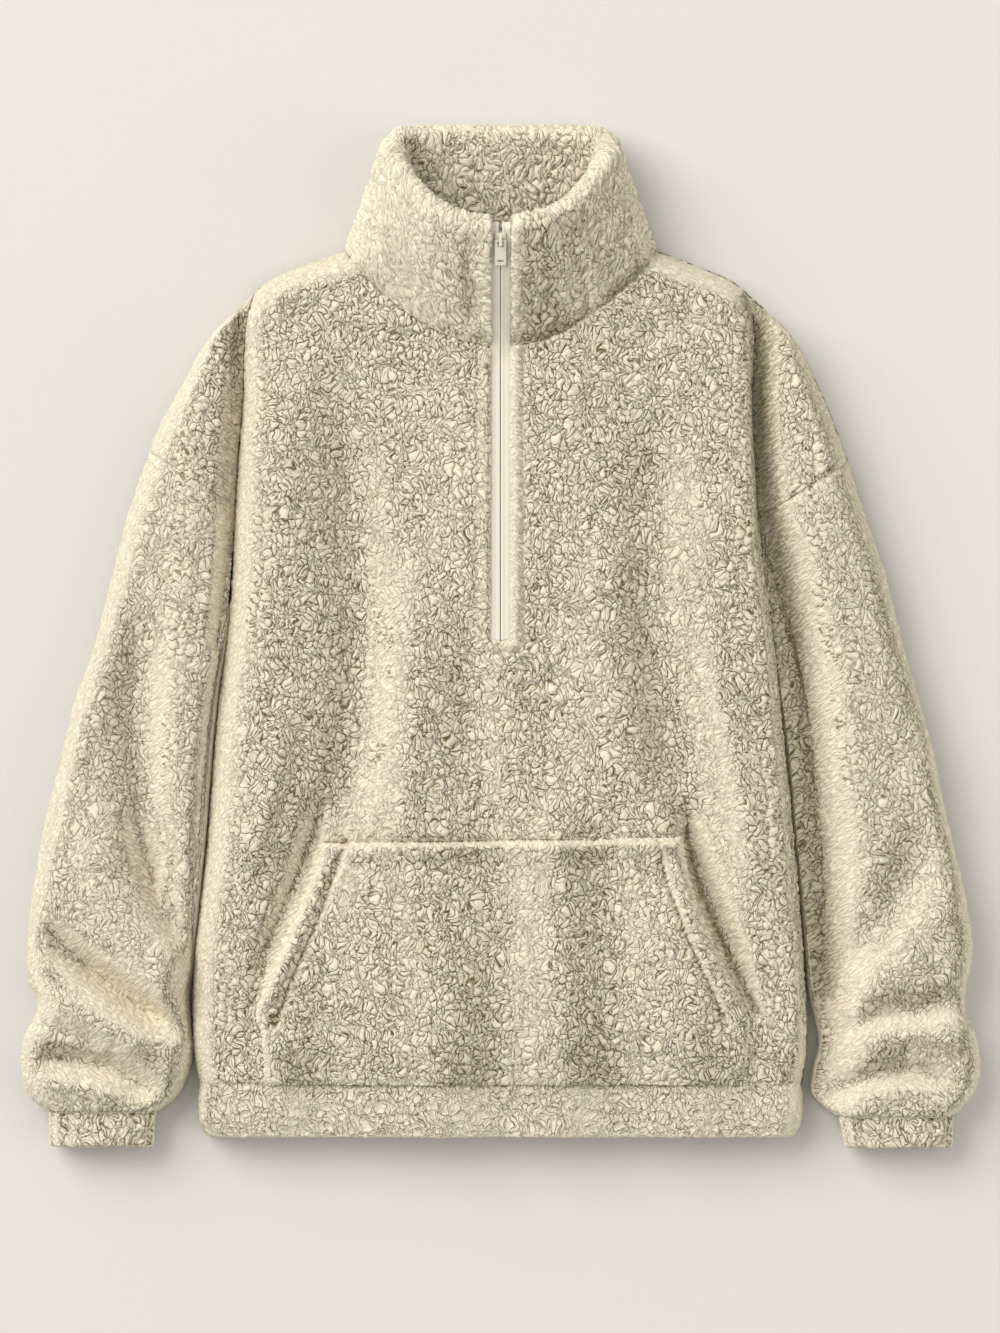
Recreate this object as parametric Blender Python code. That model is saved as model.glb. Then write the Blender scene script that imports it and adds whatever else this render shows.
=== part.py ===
"""A half-zip sherpa fleece pullover, lying face up and lofty on a flat surface.

Metres, +Z up.  The collar points to +Y.  "Left" is the -X side, which holds
the wearer's right arm, since the garment lies face up.  The origin is under
the middle of the whole garment, on the surface that it lies on.

Every cloth piece is a closed wall.  Its outer face and its inner face are
worked out from the same rows, so that neighbours meet along shared seams with
a hair of clearance.
"""

import math

import bmesh
import bpy
import numpy as np
from mathutils import Matrix

MM = 0.001

# ---------------------------------------------------------------- sizes, mm

CLOTH = 6.0             # one layer of fleece with its pile
HEM_WALL = 8.0          # doubled band
CUFF_WALL = 5.5
COLLAR_BASE = 12.0      # two layers, pressed into the neck seam
COLLAR_RIM = 18.0       # two layers, full pile
SEAM = 0.3              # clearance between two pieces that are sewn together
LOFT = 40.0             # usual height of the lofted front
CROWN_RISE = 4.0        # extra height along the middle of the front
CROWN_SPREAD = 170.0
HEM_DROP = 9.0          # the front sinks towards the hem
HEM_DROP_FROM = -250.0
HEM_DROP_LENGTH = 130.0
SIDE_SEAM = 8.0         # height at which front and back meet

ZIP_SLIT = 9.0          # half of the slit in the front
ZIP_FOOT = -2.0         # Y of the lower end of the slit
TAPE = 1.2
TAPE_SINK = 2.4         # tape below the fleece face
CHAIN_GAP = 0.3         # half of the gap between the tapes

ZIP_NECK_GAP = 6.0      # the tape starts to turn up this far below the collar
TAPE_SPREAD = (9.0, 7.0)        # the tapes part this far below the slider, over this length

CHAIN_WIDTH = 5.0
CHAIN_DEPTH = 1.4

POCKET_WALL = 6.0
POCKET_GAP = 0.6

# Rows of the body from the hem seam to the neck seam: the middle of the
# front, the middle of the back, both side edges, the height of the front's
# edge, the radius it rolls over with, and how far that edge is a free rim (1)
# or a groove that the cloth runs through (0).
ROW_COLUMNS = ("front_y", "back_y", "left_x", "left_y", "right_x", "right_y",
               "edge_z", "roll", "rim")
EDGE_SETTINGS = ("edge_z", "roll", "rim")
BODY_ROWS = (
    # front  back   left        right      edge roll rim
    (-347, -347, -234, -347, 234, -347, 8, 18, 1),      # hem seam
    (-316, -316, -239, -312, 238, -312, 8, 20, 1),
    (-250, -250, -238, -242, 235, -242, 8, 21, 1),
    (-176, -176, -230, -165, 229, -165, 8, 21, 1),
    (-95, -95, -222, -64, 219, -64, 8, 21, 1),
    (-44, -44, -214, -2, 213, -2, 8, 20, 1),
    (-2, -2, -209, 53, 205, 53, 9, 19, 1),              # foot of the zip
    (37, 37, -206, 103, 200, 93, 12, 17, 0.5),          # armhole seam's front
    (72, 76, -203, 146, 197, 146, 15, 16, 0),
    (107, 115, -200, 185, 195, 185, 17, 16, 0),
    (134, 154, -199, 220, 196, 220, 26, 17, 0),
    (158, 193, -196, 251, 195, 250, 29, 19, 0),
    (177, 232, -186, 274, 186, 273, 8, 20, 1),          # groove meets shoulder
    (200, 263, -156, 289, 156, 288, 8, 20, 1),
    (228, 295, -121, 301, 121, 301, 8, 20, 1),          # neck seam
)
ARMHOLE_ROW = 7
SHOULDER_ROW = 12
NECK_ROW = 14
NECK_DIP = 19.0         # how far the front neck seam sags below its chord
NECK_DIP_ROW = 10       # row from which that sag grows

# Outer edge of the dropped shoulder, one point for each body row from the
# armhole seam to the shoulder row.
SHOULDER_EDGE = {
    "left": ((-273, 146), (-267, 162), (-257, 181), (-246, 200), (-234, 222), (-221, 240)),
    "right": ((270, 138), (262, 159), (253, 182), (243, 204), (234, 222), (222, 240)),
}
SHOULDER_ROLL = 18.0

# Sleeve rows from the armhole to the cuff seam.
SLEEVE_COLUMNS = ("outer_x", "outer_y", "inner_x", "inner_y")
SLEEVE_ROWS = {
    "left": (
        (-273, 146, -213, 14), (-290, 96, -216, -10), (-305, 37, -222, -45),
        (-318, -13, -226, -82), (-332, -52, -229, -120), (-343, -99, -232, -158),
        (-353, -138, -236, -196), (-361, -180, -239, -227), (-367, -223, -241, -254),
        (-368, -262, -245, -277), (-360, -287, -244, -298), (-371, -312, -242, -320),
        (-373, -334, -246, -340), (-368, -355, -255, -357), (-352, -368, -268, -368),
    ),
    "right": (
        (270, 138, 212, 14), (285, 92, 215, -10), (301, 44, 219, -45),
        (312, -2, 224, -83), (324, -44, 228, -122), (335, -83, 231, -161),
        (344, -126, 235, -197), (353, -165, 238, -227), (362, -204, 240, -252),
        (367, -242, 242, -274), (361, -284, 248, -298), (369, -308, 251, -316),
        (373, -332, 246, -337), (368, -354, 246, -356), (353, -372, 263, -372),
    ),
}
SLEEVE_LOFT = 41.0
ARM_SEAM = 17.0         # height of a sleeve's edges below its armhole
WRIST_DROP = 8.0        # the sleeve sinks towards its cuff
WRIST_DROP_FROM = -290.0
WRIST_DROP_LENGTH = 80.0
GROOVE_RISE = 25.0      # width over which shoulder and sleeve rise beside the body
SLEEVE_ROLL = 19.0
WRIST_ROLL = 16.0
WRIST_SEAM = 14.5       # height of a sleeve's edge at its cuff
WRIST_SHARE = 0.75      # share of the sleeve's length at which the wrist begins
ARMHOLE_FADE = 0.34     # share of the sleeve over which the armhole curve fades

# Cuffs: cuff seam centre, end centre, half width at the seam and at the end.
CUFFS = {
    "left": {"seam": (-310, -368.3), "end": (-311, -395.5), "half": (42, 41)},
    "right": {"seam": (308, -372.3), "end": (310, -396.5), "half": (45, 42)},
}
CUFF_LOFT = 30.0
CUFF_GATHERS = 12
CUFF_GATHER_DEPTH = 1.6
CUFF_SQUARE = (0.62, 0.75)      # below 1 squares an oval, across and upwards
CUFF_LIP = 0.88                 # share of the cuff at which its end rounds over

# Collar: share of the way from the zip to the middle of the back, and the
# middle of the thick rim there.  The other half is its mirror image.
RIM_COLUMNS = ("share", "x", "y", "z")
COLLAR_RIM_ROWS = (
    (0.00, -9, 314, 76), (0.15, -36, 320, 73), (0.30, -59, 335, 66), (0.42, -75, 355, 54),
    (0.50, -83, 371, 40), (0.58, -82, 383, 26), (0.68, -66, 387, 14), (0.80, -40, 387.5, 9.2),
    (1.00, 0, 387.5, 9.2),
)
COLLAR_BULGE = 3.0

# Hem band from its seam to its folded lower edge: place, both side edges,
# height and radius of the sides, and how far the top drops from the body's.
HEM_COLUMNS = ("y", "left", "right", "edge_z", "roll", "drop")
HEM_ROWS = (
    (-347.3, -234, 234, 8, 18, 0.0), (-362, -236, 236, 8, 18, 1.0),
    (-377, -235, 235, 8, 17, 2.0), (-388.5, -229, 229, 8, 16, 5.0),
)
HEM_LIP = 0.90

# Pocket rows from the folded top edge to the hem seam.
POCKET_COLUMNS = ("y", "left", "right")
POCKET_ROWS = (
    (-155, -137, 141), (-188, -148, 147), (-227, -164, 161), (-266, -181, 179),
    (-291, -190, 192), (-305, -186, 193), (-328, -184, 191), (-347, -183, 187),
)

# Folds of the front: height of the crest (a trough is negative), half width,
# and the points the fold runs through.
BODY_FOLDS = (
    ("chest ridge left", 5, 24,
     ((-186, 239), (-176, 185), (-173, 107), (-178, 30),
      (-186, -48), (-195, -126), (-207, -204), (-214, -281))),
    ("chest trough left", -10, 27,
     ((-141, 200), (-121, 107), (-116, 30), (-121, -48),
      (-141, -126), (-168, -188), (-191, -250))),
    ("middle ridge left", 5, 26,
     ((-82, 123), (-67, 30), (-63, -48), (-67, -165), (-72, -242), (-78, -385))),
    ("middle trough left", -5, 20,
     ((-40, 123), (-36, -9), (-30, -110), (-24, -204), (-24, -385))),
    ("pocket ridge middle", 4, 22, ((34, -165), (34, -242), (37, -385))),
    ("pocket trough right", -5, 18, ((69, -188), (77, -242), (77, -385))),
    ("middle ridge right", 4, 22, ((69, 123), (75, 30), (75, -64), (69, -141))),
    ("chest trough right", -9, 23,
     ((96, 169), (108, 61), (120, -33), (139, -126), (166, -204), (190, -266))),
    ("chest ridge right", 5, 25,
     ((155, 200), (166, 92), (176, -9), (190, -110), (201, -204), (209, -281))),
    ("pocket ridge right", 4, 22, ((108, -188), (116, -266), (116, -385))),
)
ARM_FOLDS = {
    "left": (
        ("long ridge", 4, 17,
         ((-220, 228), (-234, 169), (-232, 92), (-235, 14),
          (-246, -64), (-257, -126), (-273, -188))),
        ("elbow trough", -10, 18,
         ((-280, 30), (-298, -48), (-292, -110), (-273, -172), (-246, -242))),
        ("bunch ridge upper", 6, 13, ((-354, -188), (-312, -215), (-273, -250), (-246, -262))),
        ("bunch trough upper", -9, 10, ((-362, -242), (-319, -254), (-280, -277), (-249, -291))),
        ("bunch ridge middle", 6, 10, ((-358, -270), (-319, -285), (-280, -305), (-246, -312))),
        ("bunch trough lower", -11, 9, ((-368, -322), (-327, -322), (-288, -334), (-261, -347))),
        ("bunch ridge lower", 4, 9, ((-362, -343), (-319, -347), (-273, -355))),
    ),
    "right": (
        ("long ridge", 4, 19,
         ((225, 169), (232, 92), (244, -2), (256, -79), (271, -149))),
        ("elbow trough", -10, 17, ((329, -126), (322, -172), (294, -223), (260, -246))),
        ("bunch ridge upper", 6, 13, ((357, -188), (322, -223), (279, -262), (248, -274))),
        ("bunch trough upper", -8, 11, ((361, -254), (326, -270), (287, -285))),
        ("bunch ridge middle", 6, 10, ((267, -291), (310, -293), (368, -305))),
        ("bunch trough lower", -11, 9, ((252, -340), (291, -324), (326, -328), (364, -336))),
        ("bunch ridge lower", 4, 9, ((260, -351), (310, -343), (357, -355))),
    ),
}

FOLD_FADE = 0.18        # share of a fold over which each of its ends dies out

# Grid density: cells around a roll, across a piece and along it.
ROLL_STEPS = 4
UNDER_ROLL_STEPS = 2
FRONT_ACROSS = 14
BACK_ACROSS = 4
WING_ACROSS = 4
ROWS_PER_STATION = 2
SLEEVE_ACROSS = 8
SLEEVE_UNDER = 4
HEM_ACROSS = 22
HEM_UNDER = 8
CUFF_AROUND = 48
COLLAR_SHARES = (0, 0.08, 0.16, 0.24, 0.31, 0.37, 0.42, 0.46, 0.50,
                 0.54, 0.58, 0.63, 0.70, 0.80, 0.90, 1.0)
COLLAR_RISE = 4
RIM_STEPS = 4
ZIP_STEPS = 12

# Slider and pull tab, in the slider's own frame: across, along the zip
# towards the rim, and up from the tape.
SLIDER_Y = 306.0
SLIDER_SIZE = (8.0, 11.0, 1.6)
SLIDER_UNDER = 1.2
SLIDER_POST = (2.0, 2.2)
POST_ALONG = 3.0
CROWN = (2.4, 7.4, 3.9)
CROWN_EYE = (5.0, 2.6)
EYE_RISE = 0.1
HINGE_RISE = 1.4        # hinge axis above the slider's top plate
PULL_SIZE = (9.0, 21.0, 1.5)
PULL_WINDOW = (4.6, 4.45)
PULL_SLOT = (4.6, 1.6)
SLOT_FROM_TIP = 3.6
PULL_DROOP = 4.0        # degrees, which brings its tip close to the tape
OVERLAP = 0.4           # how far joined metal blocks run into each other
SHARP = 50.0            # degrees from which an edge is shaded as a crease


# ------------------------------------------------------------ small helpers

def spline(points, places):
    """Points of a smooth curve through the given ones, at places 0, 1, 2..."""
    knots = np.array(points, dtype=float)
    padded = np.vstack([2 * knots[0] - knots[1], knots, 2 * knots[-1] - knots[-2]])
    places = np.asarray(places, dtype=float)
    index = np.clip(places.astype(int), 0, len(knots) - 2)
    u = (places - index)[:, None]
    before, start, end, after = (padded[index + k] for k in range(4))
    return 0.5 * (2 * start + (end - before) * u
                  + (2 * before - 5 * start + 4 * end - after) * u ** 2
                  + (3 * start - before - 3 * end + after) * u ** 3)


def even_spline(points, steps):
    """The same curve with `steps` cells for each of its spans."""
    return spline(points, np.arange((len(points) - 1) * steps + 1) / steps)


def smooth(value):
    """Ease from 0 to 1."""
    value = np.clip(value, 0.0, 1.0)
    return value * value * (3 - 2 * value)


def unit(vectors):
    return vectors / np.linalg.norm(vectors, axis=-1, keepdims=True)


def named(columns, rows):
    """A table's columns by their names."""
    return dict(zip(columns, np.transpose(rows)))


def fold_height(folds, x, y):
    """Sum of the ridges and troughs at the plan points x, y."""
    total = np.zeros(np.shape(x))
    for _, height, width, path in folds:
        line = even_spline(path, 5)
        distance, along = nearest_on(line, x, y)
        along = along / (len(line) - 1)
        fade = smooth(along / FOLD_FADE) * smooth((1 - along) / FOLD_FADE)
        total += height * fade * np.exp(-(distance / width) ** 2)
    return total


def body_height(x, y):
    """Height of the front's face away from its edges."""
    crown = LOFT + CROWN_RISE * np.exp(-(x / CROWN_SPREAD) ** 2)
    crown = crown - HEM_DROP * smooth((HEM_DROP_FROM - y) / HEM_DROP_LENGTH)
    return crown + fold_height(BODY_FOLDS, x, y)


def nearest_on(line, x, y):
    """Distance from plan points to a line of (x, y), and the place along it."""
    start, span = line[:-1, :2], np.diff(line[:, :2], axis=0)
    across, up = x[..., None] - start[:, 0], y[..., None] - start[:, 1]
    reach = (across * span[:, 0] + up * span[:, 1]) / (span ** 2).sum(axis=1)
    reach = np.clip(reach, 0.0, 1.0)
    gap = np.hypot(across - reach * span[:, 0], up - reach * span[:, 1])
    nearest = gap.argmin(axis=-1)[..., None]
    distance = np.take_along_axis(gap, nearest, -1)[..., 0]
    return distance, (nearest + np.take_along_axis(reach, nearest, -1))[..., 0]


def arm_height(side, x, y):
    """Height of a dropped shoulder and its sleeve away from their edges.

    Beside the body both rise out of the armhole groove, from the height that
    the body's own edge has there.
    """
    base = SLEEVE_LOFT - WRIST_DROP * smooth((WRIST_DROP_FROM - y) / WRIST_DROP_LENGTH)
    top = base + fold_height(ARM_FOLDS[side], x, y)
    rows = body_rows(np.linspace(ARMHOLE_ROW - 2, SHOULDER_ROW, 29))
    line = np.column_stack([rows[side + "_x"], rows[side + "_y"]])
    distance, place = nearest_on(line, x, y)
    bottom = np.interp(place, np.arange(len(line)), rows["edge_z"])
    _, sine = turn(distance, GROOVE_RISE)
    return bottom + (top - bottom) * sine


def turn(distance, roll):
    """Cosine and sine of the angle around a rolled edge."""
    cosine = np.clip(1 - distance / roll, 0.0, 1.0)
    return cosine, np.sqrt(1 - cosine ** 2)


def roll_distances(length, roll, steps, across):
    """Distances from an edge: `steps` around the roll, `across` beyond it."""
    angles = np.linspace(0.0, math.pi / 2, steps + 1)
    around = roll[..., None] * (1 - np.cos(angles))
    beyond = np.linspace(0.0, 1.0, across + 1)[1:]
    flat = roll[..., None] + (length - roll)[..., None] * beyond
    return np.concatenate([around, flat], axis=-1)


# ------------------------------------------------------------ body surfaces

def body_rows(places):
    """The row table at some places: smooth outlines, straight edge settings."""
    rows = named(ROW_COLUMNS, spline(BODY_ROWS, places))
    knots = named(ROW_COLUMNS, BODY_ROWS)
    for name in EDGE_SETTINGS:
        rows[name] = np.interp(places, np.arange(len(BODY_ROWS)), knots[name])
    rows["place"] = places
    return rows


def front_places():
    return np.arange(NECK_ROW * ROWS_PER_STATION + 1) / ROWS_PER_STATION


def row_span(side, rows, face):
    """Each body row's edge point, its span to the middle, and its length."""
    edge = np.stack([rows[side + "_x"], rows[side + "_y"]], axis=-1)
    span = middle_points(rows, face) - edge
    return edge, span, np.linalg.norm(span, axis=-1)


def row_points(side, rows, face, distance):
    """Plan points at distances from a body row's edge towards its middle."""
    edge, span, length = row_span(side, rows, face)
    share = distance / length[:, None]
    return edge[:, None] + span[:, None] * share[..., None], share


def middle_points(rows, face):
    return np.stack([np.zeros(len(rows["place"])), rows[face + "_y"]], axis=-1)


def front_face(side, rows, distance, inset):
    """Outer (inset 0) or inner face of half the front, at distances from its edge."""
    cosine, sine = turn(distance, rows["roll"][:, None])
    rim = rows["rim"][:, None]
    plan, share = row_points(side, rows, "front", distance + rim * inset * cosine)
    neck = smooth((rows["place"] - NECK_DIP_ROW) / (NECK_ROW - NECK_DIP_ROW))[:, None]
    y = plan[..., 1] - NECK_DIP * neck * 4 * share * (1 - share)
    edge_z = rows["edge_z"][:, None]
    top = body_height(plan[..., 0], y)
    z = edge_z + (top - edge_z) * sine - inset * (rim * sine + 1 - rim)
    return np.stack([plan[..., 0], y, z], axis=-1)


def back_face(side, rows, distance, inset):
    """The same for the back, which lies flat and turns up at its edges."""
    cosine, sine = turn(distance, rows["roll"][:, None])
    rim = rows["rim"][:, None]
    plan, _ = row_points(side, rows, "back", distance + rim * inset * cosine)
    edge_z = (rows["edge_z"][:, None] - SEAM) * rim
    z = edge_z * (1 - sine) + inset * (rim * sine + 1 - rim)
    return np.stack([plan[..., 0], plan[..., 1], z], axis=-1)


def wing(side, rows, body_edge, inset, over, steps, across):
    """The dropped shoulder, from the body's edge points out to the shoulder.

    `over` is True for the front's face and False for the back's.
    """
    inside = (rows["place"] >= ARMHOLE_ROW) & (rows["place"] <= SHOULDER_ROW)
    start = body_edge[inside]
    shoulder = spline(SHOULDER_EDGE[side], rows["place"][inside] - ARMHOLE_ROW)
    anchor = np.stack([rows[side + "_x"], rows[side + "_y"]], axis=-1)[inside]
    span = anchor - shoulder
    length = np.linalg.norm(span, axis=-1)
    roll = np.full(len(length), SHOULDER_ROLL)
    distance = roll_distances(length, roll, steps, across)
    cosine, sine = turn(distance, SHOULDER_ROLL)
    share = (distance + inset * cosine) / length[:, None]
    outside = shoulder[:, None] + span[:, None] * (distance / length[:, None])[..., None]
    plan = shoulder[:, None] + span[:, None] * share[..., None]
    drop = outside - outside[-1]
    top_cosine, top_sine = turn(np.linalg.norm(drop, axis=-1), SHOULDER_ROLL)
    inward = unit(outside[0] - outside[-1])
    plan = plan + inward * (inset * top_cosine)[..., None]
    lift = sine * top_sine
    if over:
        edge_z = SIDE_SEAM
        top = arm_height(side, outside[..., 0], outside[..., 1])
        z = edge_z + (top - edge_z - inset) * lift
    else:
        edge_z = SIDE_SEAM - SEAM
        z = edge_z * (1 - lift) + inset * lift
    grid = np.concatenate([plan, z[..., None]], axis=-1)
    grid[:, -1] = start
    return grid


# ------------------------------------------------------------ mesh builders

def material(name, colour, roughness, metallic=0.0):
    made = bpy.data.materials.new(name)
    made.use_nodes = True
    shader = made.node_tree.nodes["Principled BSDF"]
    shader.inputs["Base Color"].default_value = (*colour, 1.0)
    shader.inputs["Roughness"].default_value = roughness
    shader.inputs["Metallic"].default_value = metallic
    return made


def keep(name, bm, finish, collection):
    """Turns a piece's faces outward, shades it smooth and puts it in the scene."""
    bmesh.ops.recalc_face_normals(bm, faces=bm.faces)
    mesh = bpy.data.meshes.new(name)
    bm.to_mesh(mesh)
    bm.free()
    mesh.materials.append(finish)
    mesh.shade_smooth()
    mesh.set_sharp_from_angle(angle=math.radians(SHARP))
    piece = bpy.data.objects.new(name, mesh)
    collection.objects.link(piece)
    return piece


def add_points(bm, points):
    return [bm.verts.new(point * MM) for point in np.reshape(points, (-1, 3))]


def join_loops(bm, loop, following):
    for k, vert in enumerate(loop):
        after = (k + 1) % len(loop)
        bm.faces.new((vert, loop[after], following[after], following[k]))


def ring_wall(name, rings, finish, collection):
    """A tube's wall from closed rings: down its face, then back up its inside."""
    bm = bmesh.new()
    loops = [add_points(bm, ring) for ring in rings]
    for index, loop in enumerate(loops):
        join_loops(bm, loop, loops[(index + 1) % len(loops)])
    return keep(name, bm, finish, collection)


def strip_wall(name, sections, finish, collection):
    """A loft through closed sections, with both ends capped."""
    bm = bmesh.new()
    loops = [add_points(bm, section) for section in sections]
    for loop, following in zip(loops, loops[1:]):
        join_loops(bm, loop, following)
    for loop in (loops[0], loops[-1]):
        half = len(loop) // 2
        for k in range(half - 1):
            bm.faces.new((loop[k], loop[k + 1], loop[-2 - k], loop[-1 - k]))
        if len(loop) % 2:
            bm.faces.new(loop[half - 1:half + 2])
    return keep(name, bm, finish, collection)


def panel_wall(name, patches, finish, collection):
    """A panel's wall from patches of (outer, inner) grids.

    Patches are welded where their outer points agree, and a rim closes the
    wall between its two faces wherever the panel ends.
    """
    number = {}
    outer_points = []
    inner_points = []
    faces = []
    for outer, inner in patches:
        rows, columns = outer.shape[:2]
        grid = np.empty((rows, columns), dtype=int)
        for place in np.ndindex(rows, columns):
            key = tuple(np.round(outer[place], 3) + 0.0)
            if key not in number:
                number[key] = len(outer_points)
                outer_points.append(outer[place])
                inner_points.append(inner[place])
            grid[place] = number[key]
        for row, column in np.ndindex(rows - 1, columns - 1):
            corners = (grid[row, column], grid[row, column + 1],
                       grid[row + 1, column + 1], grid[row + 1, column])
            for half in (corners[:3], (corners[0], *corners[2:])):
                if len(set(half)) == 3:
                    faces.append(half)
    bm = bmesh.new()
    outer_verts = add_points(bm, np.array(outer_points))
    inner_verts = add_points(bm, np.array(inner_points))
    sides = {}
    for corners in faces:
        bm.faces.new([outer_verts[c] for c in corners])
        bm.faces.new([inner_verts[c] for c in reversed(corners)])
        for pair in zip(corners, corners[1:] + corners[:1]):
            key = tuple(sorted(pair))
            sides[key] = sides.get(key, 0) + 1
    for (a, b), count in sides.items():
        if count == 1:
            bm.faces.new((outer_verts[a], outer_verts[b], inner_verts[b], inner_verts[a]))
    return keep(name, bm, finish, collection)


def block(name, size, centre, frame):
    """A box in a local frame."""
    bpy.ops.mesh.primitive_cube_add(size=1.0)
    box = bpy.context.active_object
    box.name = name
    for vert in box.data.vertices:
        vert.co = [vert.co[k] * size[k] * MM + centre[k] * MM for k in range(3)]
    box.matrix_world = frame
    return box


def combine(base, other, operation, guides):
    """A Boolean of two pieces; the second one stays behind as a guide."""
    other.display_type = "WIRE"
    other.hide_render = True
    move_to(other, guides)
    step = base.modifiers.new(other.name, "BOOLEAN")
    step.operation = operation
    step.object = other


def move_to(piece, collection):
    for holder in list(piece.users_collection):
        holder.objects.unlink(piece)
    collection.objects.link(piece)


# ------------------------------------------------------------- cloth pieces

def make_front(finish, collection, guides):
    rows = body_rows(front_places())
    patches = []
    for side in ("left", "right"):
        distance = front_grid(side, rows)
        faces = [front_face(side, rows, distance, inset) for inset in (0.0, CLOTH)]
        wings = [wing(side, rows, face[:, 0], inset, True, ROLL_STEPS, WING_ACROSS)
                 for face, inset in zip(faces, (0.0, CLOTH))]
        patches += [faces, wings]
    front = panel_wall("front_panel", patches, finish, collection)
    slit_top = BODY_ROWS[NECK_ROW][0] + NECK_DIP
    slit = block("zip_slit", (ZIP_SLIT * 2, slit_top - ZIP_FOOT, LOFT * 4),
                 (0, (slit_top + ZIP_FOOT) / 2, LOFT), Matrix())
    combine(front, slit, "DIFFERENCE", guides)


def make_back(finish, collection):
    rows = body_rows(np.arange(NECK_ROW + 1.0))
    patches = []
    for side in ("left", "right"):
        length = row_span(side, rows, "back")[2]
        distance = roll_distances(length, rows["roll"], UNDER_ROLL_STEPS + 1, BACK_ACROSS)
        faces = [back_face(side, rows, distance, inset) for inset in (0.0, CLOTH)]
        wings = [wing(side, rows, face[:, 0], inset, False, UNDER_ROLL_STEPS, 2)
                 for face, inset in zip(faces, (0.0, CLOTH))]
        patches += [faces, wings]
    return panel_wall("back_panel", patches, finish, collection)


def armhole_line(side):
    """Plan of the armhole seam: shoulder, down the front, to the underarm."""
    rows = body_rows(np.linspace(ARMHOLE_ROW, ARMHOLE_ROW - 1.5, 7))
    sign = -1 if side == "left" else 1
    down = np.stack([rows[side + "_x"] + sign * 2 * SEAM, rows[side + "_y"]], axis=-1)
    shoulder = np.array(SHOULDER_EDGE[side][0], dtype=float)
    across = unit(down[0] - shoulder)
    away = np.array([across[1], -across[0]]) * -sign
    seam = np.linspace(shoulder, down[0], 7) + away * 2 * SEAM
    return seam[:-1], down


def sleeve_ring(side, place, inset):
    """One ring of a sleeve: over the top from its outer edge, back underneath."""
    row = named(SLEEVE_COLUMNS, spline(SLEEVE_ROWS[side], [place])[0])
    start = np.array([row["outer_x"], row["outer_y"]])
    end = np.array([row["inner_x"], row["inner_y"]])
    length = np.linalg.norm(end - start)
    share_down = place / (len(SLEEVE_ROWS[side]) - 1)
    wrist = smooth((share_down - WRIST_SHARE) / (1 - WRIST_SHARE))
    roll = SLEEVE_ROLL + (WRIST_ROLL - SLEEVE_ROLL) * wrist
    edge_z = SIDE_SEAM + (ARM_SEAM - SIDE_SEAM) * smooth(share_down / ARMHOLE_FADE)
    edge_z = edge_z + (WRIST_SEAM - ARM_SEAM) * wrist
    hold = max(0.0, 1 - share_down / ARMHOLE_FADE) ** 2
    seam, down = armhole_line(side)
    line = np.vstack([seam, down])
    walked = np.concatenate([np.linspace(0.0, 0.5, len(seam), endpoint=False),
                             np.linspace(0.5, 1.0, len(down))])

    def points(steps, across, over):
        angles = np.linspace(0.0, math.pi / 2, steps + 1)
        near = roll * (1 - np.cos(angles))
        flat = np.linspace(roll, length - roll, across + 1)[1:-1]
        distance = np.concatenate([near, flat, (length - near)[::-1]])
        from_edge = np.minimum(distance, length - distance)
        cosine, sine = turn(from_edge, roll)
        inward = np.where(distance < length / 2, 1.0, -1.0)
        share = (distance + inward * inset * cosine) / length
        bend = np.stack([np.interp(share, walked, line[:, k]) for k in range(2)], axis=-1)
        first = np.array(SLEEVE_ROWS[side][0], dtype=float)
        chord = first[:2] + (first[2:] - first[:2]) * share[:, None]
        plan = start + (end - start) * share[:, None] + hold * (bend - chord)
        if over:
            top = arm_height(side, plan[:, 0], plan[:, 1])
            z = edge_z + (top - inset - edge_z) * sine
        else:
            z = edge_z - (edge_z - inset) * sine
        return np.column_stack([plan, z])

    above = points(ROLL_STEPS, SLEEVE_ACROSS, True)
    below = points(UNDER_ROLL_STEPS, SLEEVE_UNDER, False)
    return np.vstack([above, below[-2:0:-1]])


def make_sleeve(side, finish, collection):
    ends = len(SLEEVE_ROWS[side]) - 1
    places = np.arange(ends * ROWS_PER_STATION + 1) / ROWS_PER_STATION
    outer = [sleeve_ring(side, place, 0.0) for place in places]
    inner = [sleeve_ring(side, place, CLOTH) for place in places]
    return ring_wall("sleeve_" + side, outer + inner[::-1], finish, collection)


def cuff_ring(side, share, inset):
    """One gathered ring of a cuff, `share` of the way to its open end."""
    cuff = CUFFS[side]
    seam, end = np.array(cuff["seam"]), np.array(cuff["end"])
    centre = seam + (end - seam) * share
    half = cuff["half"][0] + (cuff["half"][1] - cuff["half"][0]) * share
    angle = np.linspace(0.0, 2 * math.pi, CUFF_AROUND, endpoint=False)
    wave = 0.5 + 0.5 * np.cos(CUFF_GATHERS * angle)
    pinch = inset + CUFF_GATHER_DEPTH * wave
    cosine, sine = np.cos(angle), np.sin(angle)
    wide = np.sign(cosine) * np.abs(cosine) ** CUFF_SQUARE[0] * (half - pinch)
    tall = np.sign(sine) * np.abs(sine) ** CUFF_SQUARE[1] * (CUFF_LOFT / 2 - pinch)
    return np.column_stack([centre[0] + wide, np.full(CUFF_AROUND, centre[1]),
                            CUFF_LOFT / 2 + tall])


def make_cuff(side, finish, collection):
    rings = [cuff_ring(side, share, 0.0) for share in (0.0, CUFF_LIP / 2, CUFF_LIP)]
    rings.append(cuff_ring(side, 1.0, CUFF_WALL / 2))
    rings += [cuff_ring(side, share, CUFF_WALL) for share in (CUFF_LIP, CUFF_LIP / 2, 0.0)]
    return ring_wall("cuff_" + side, rings, finish, collection)


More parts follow.
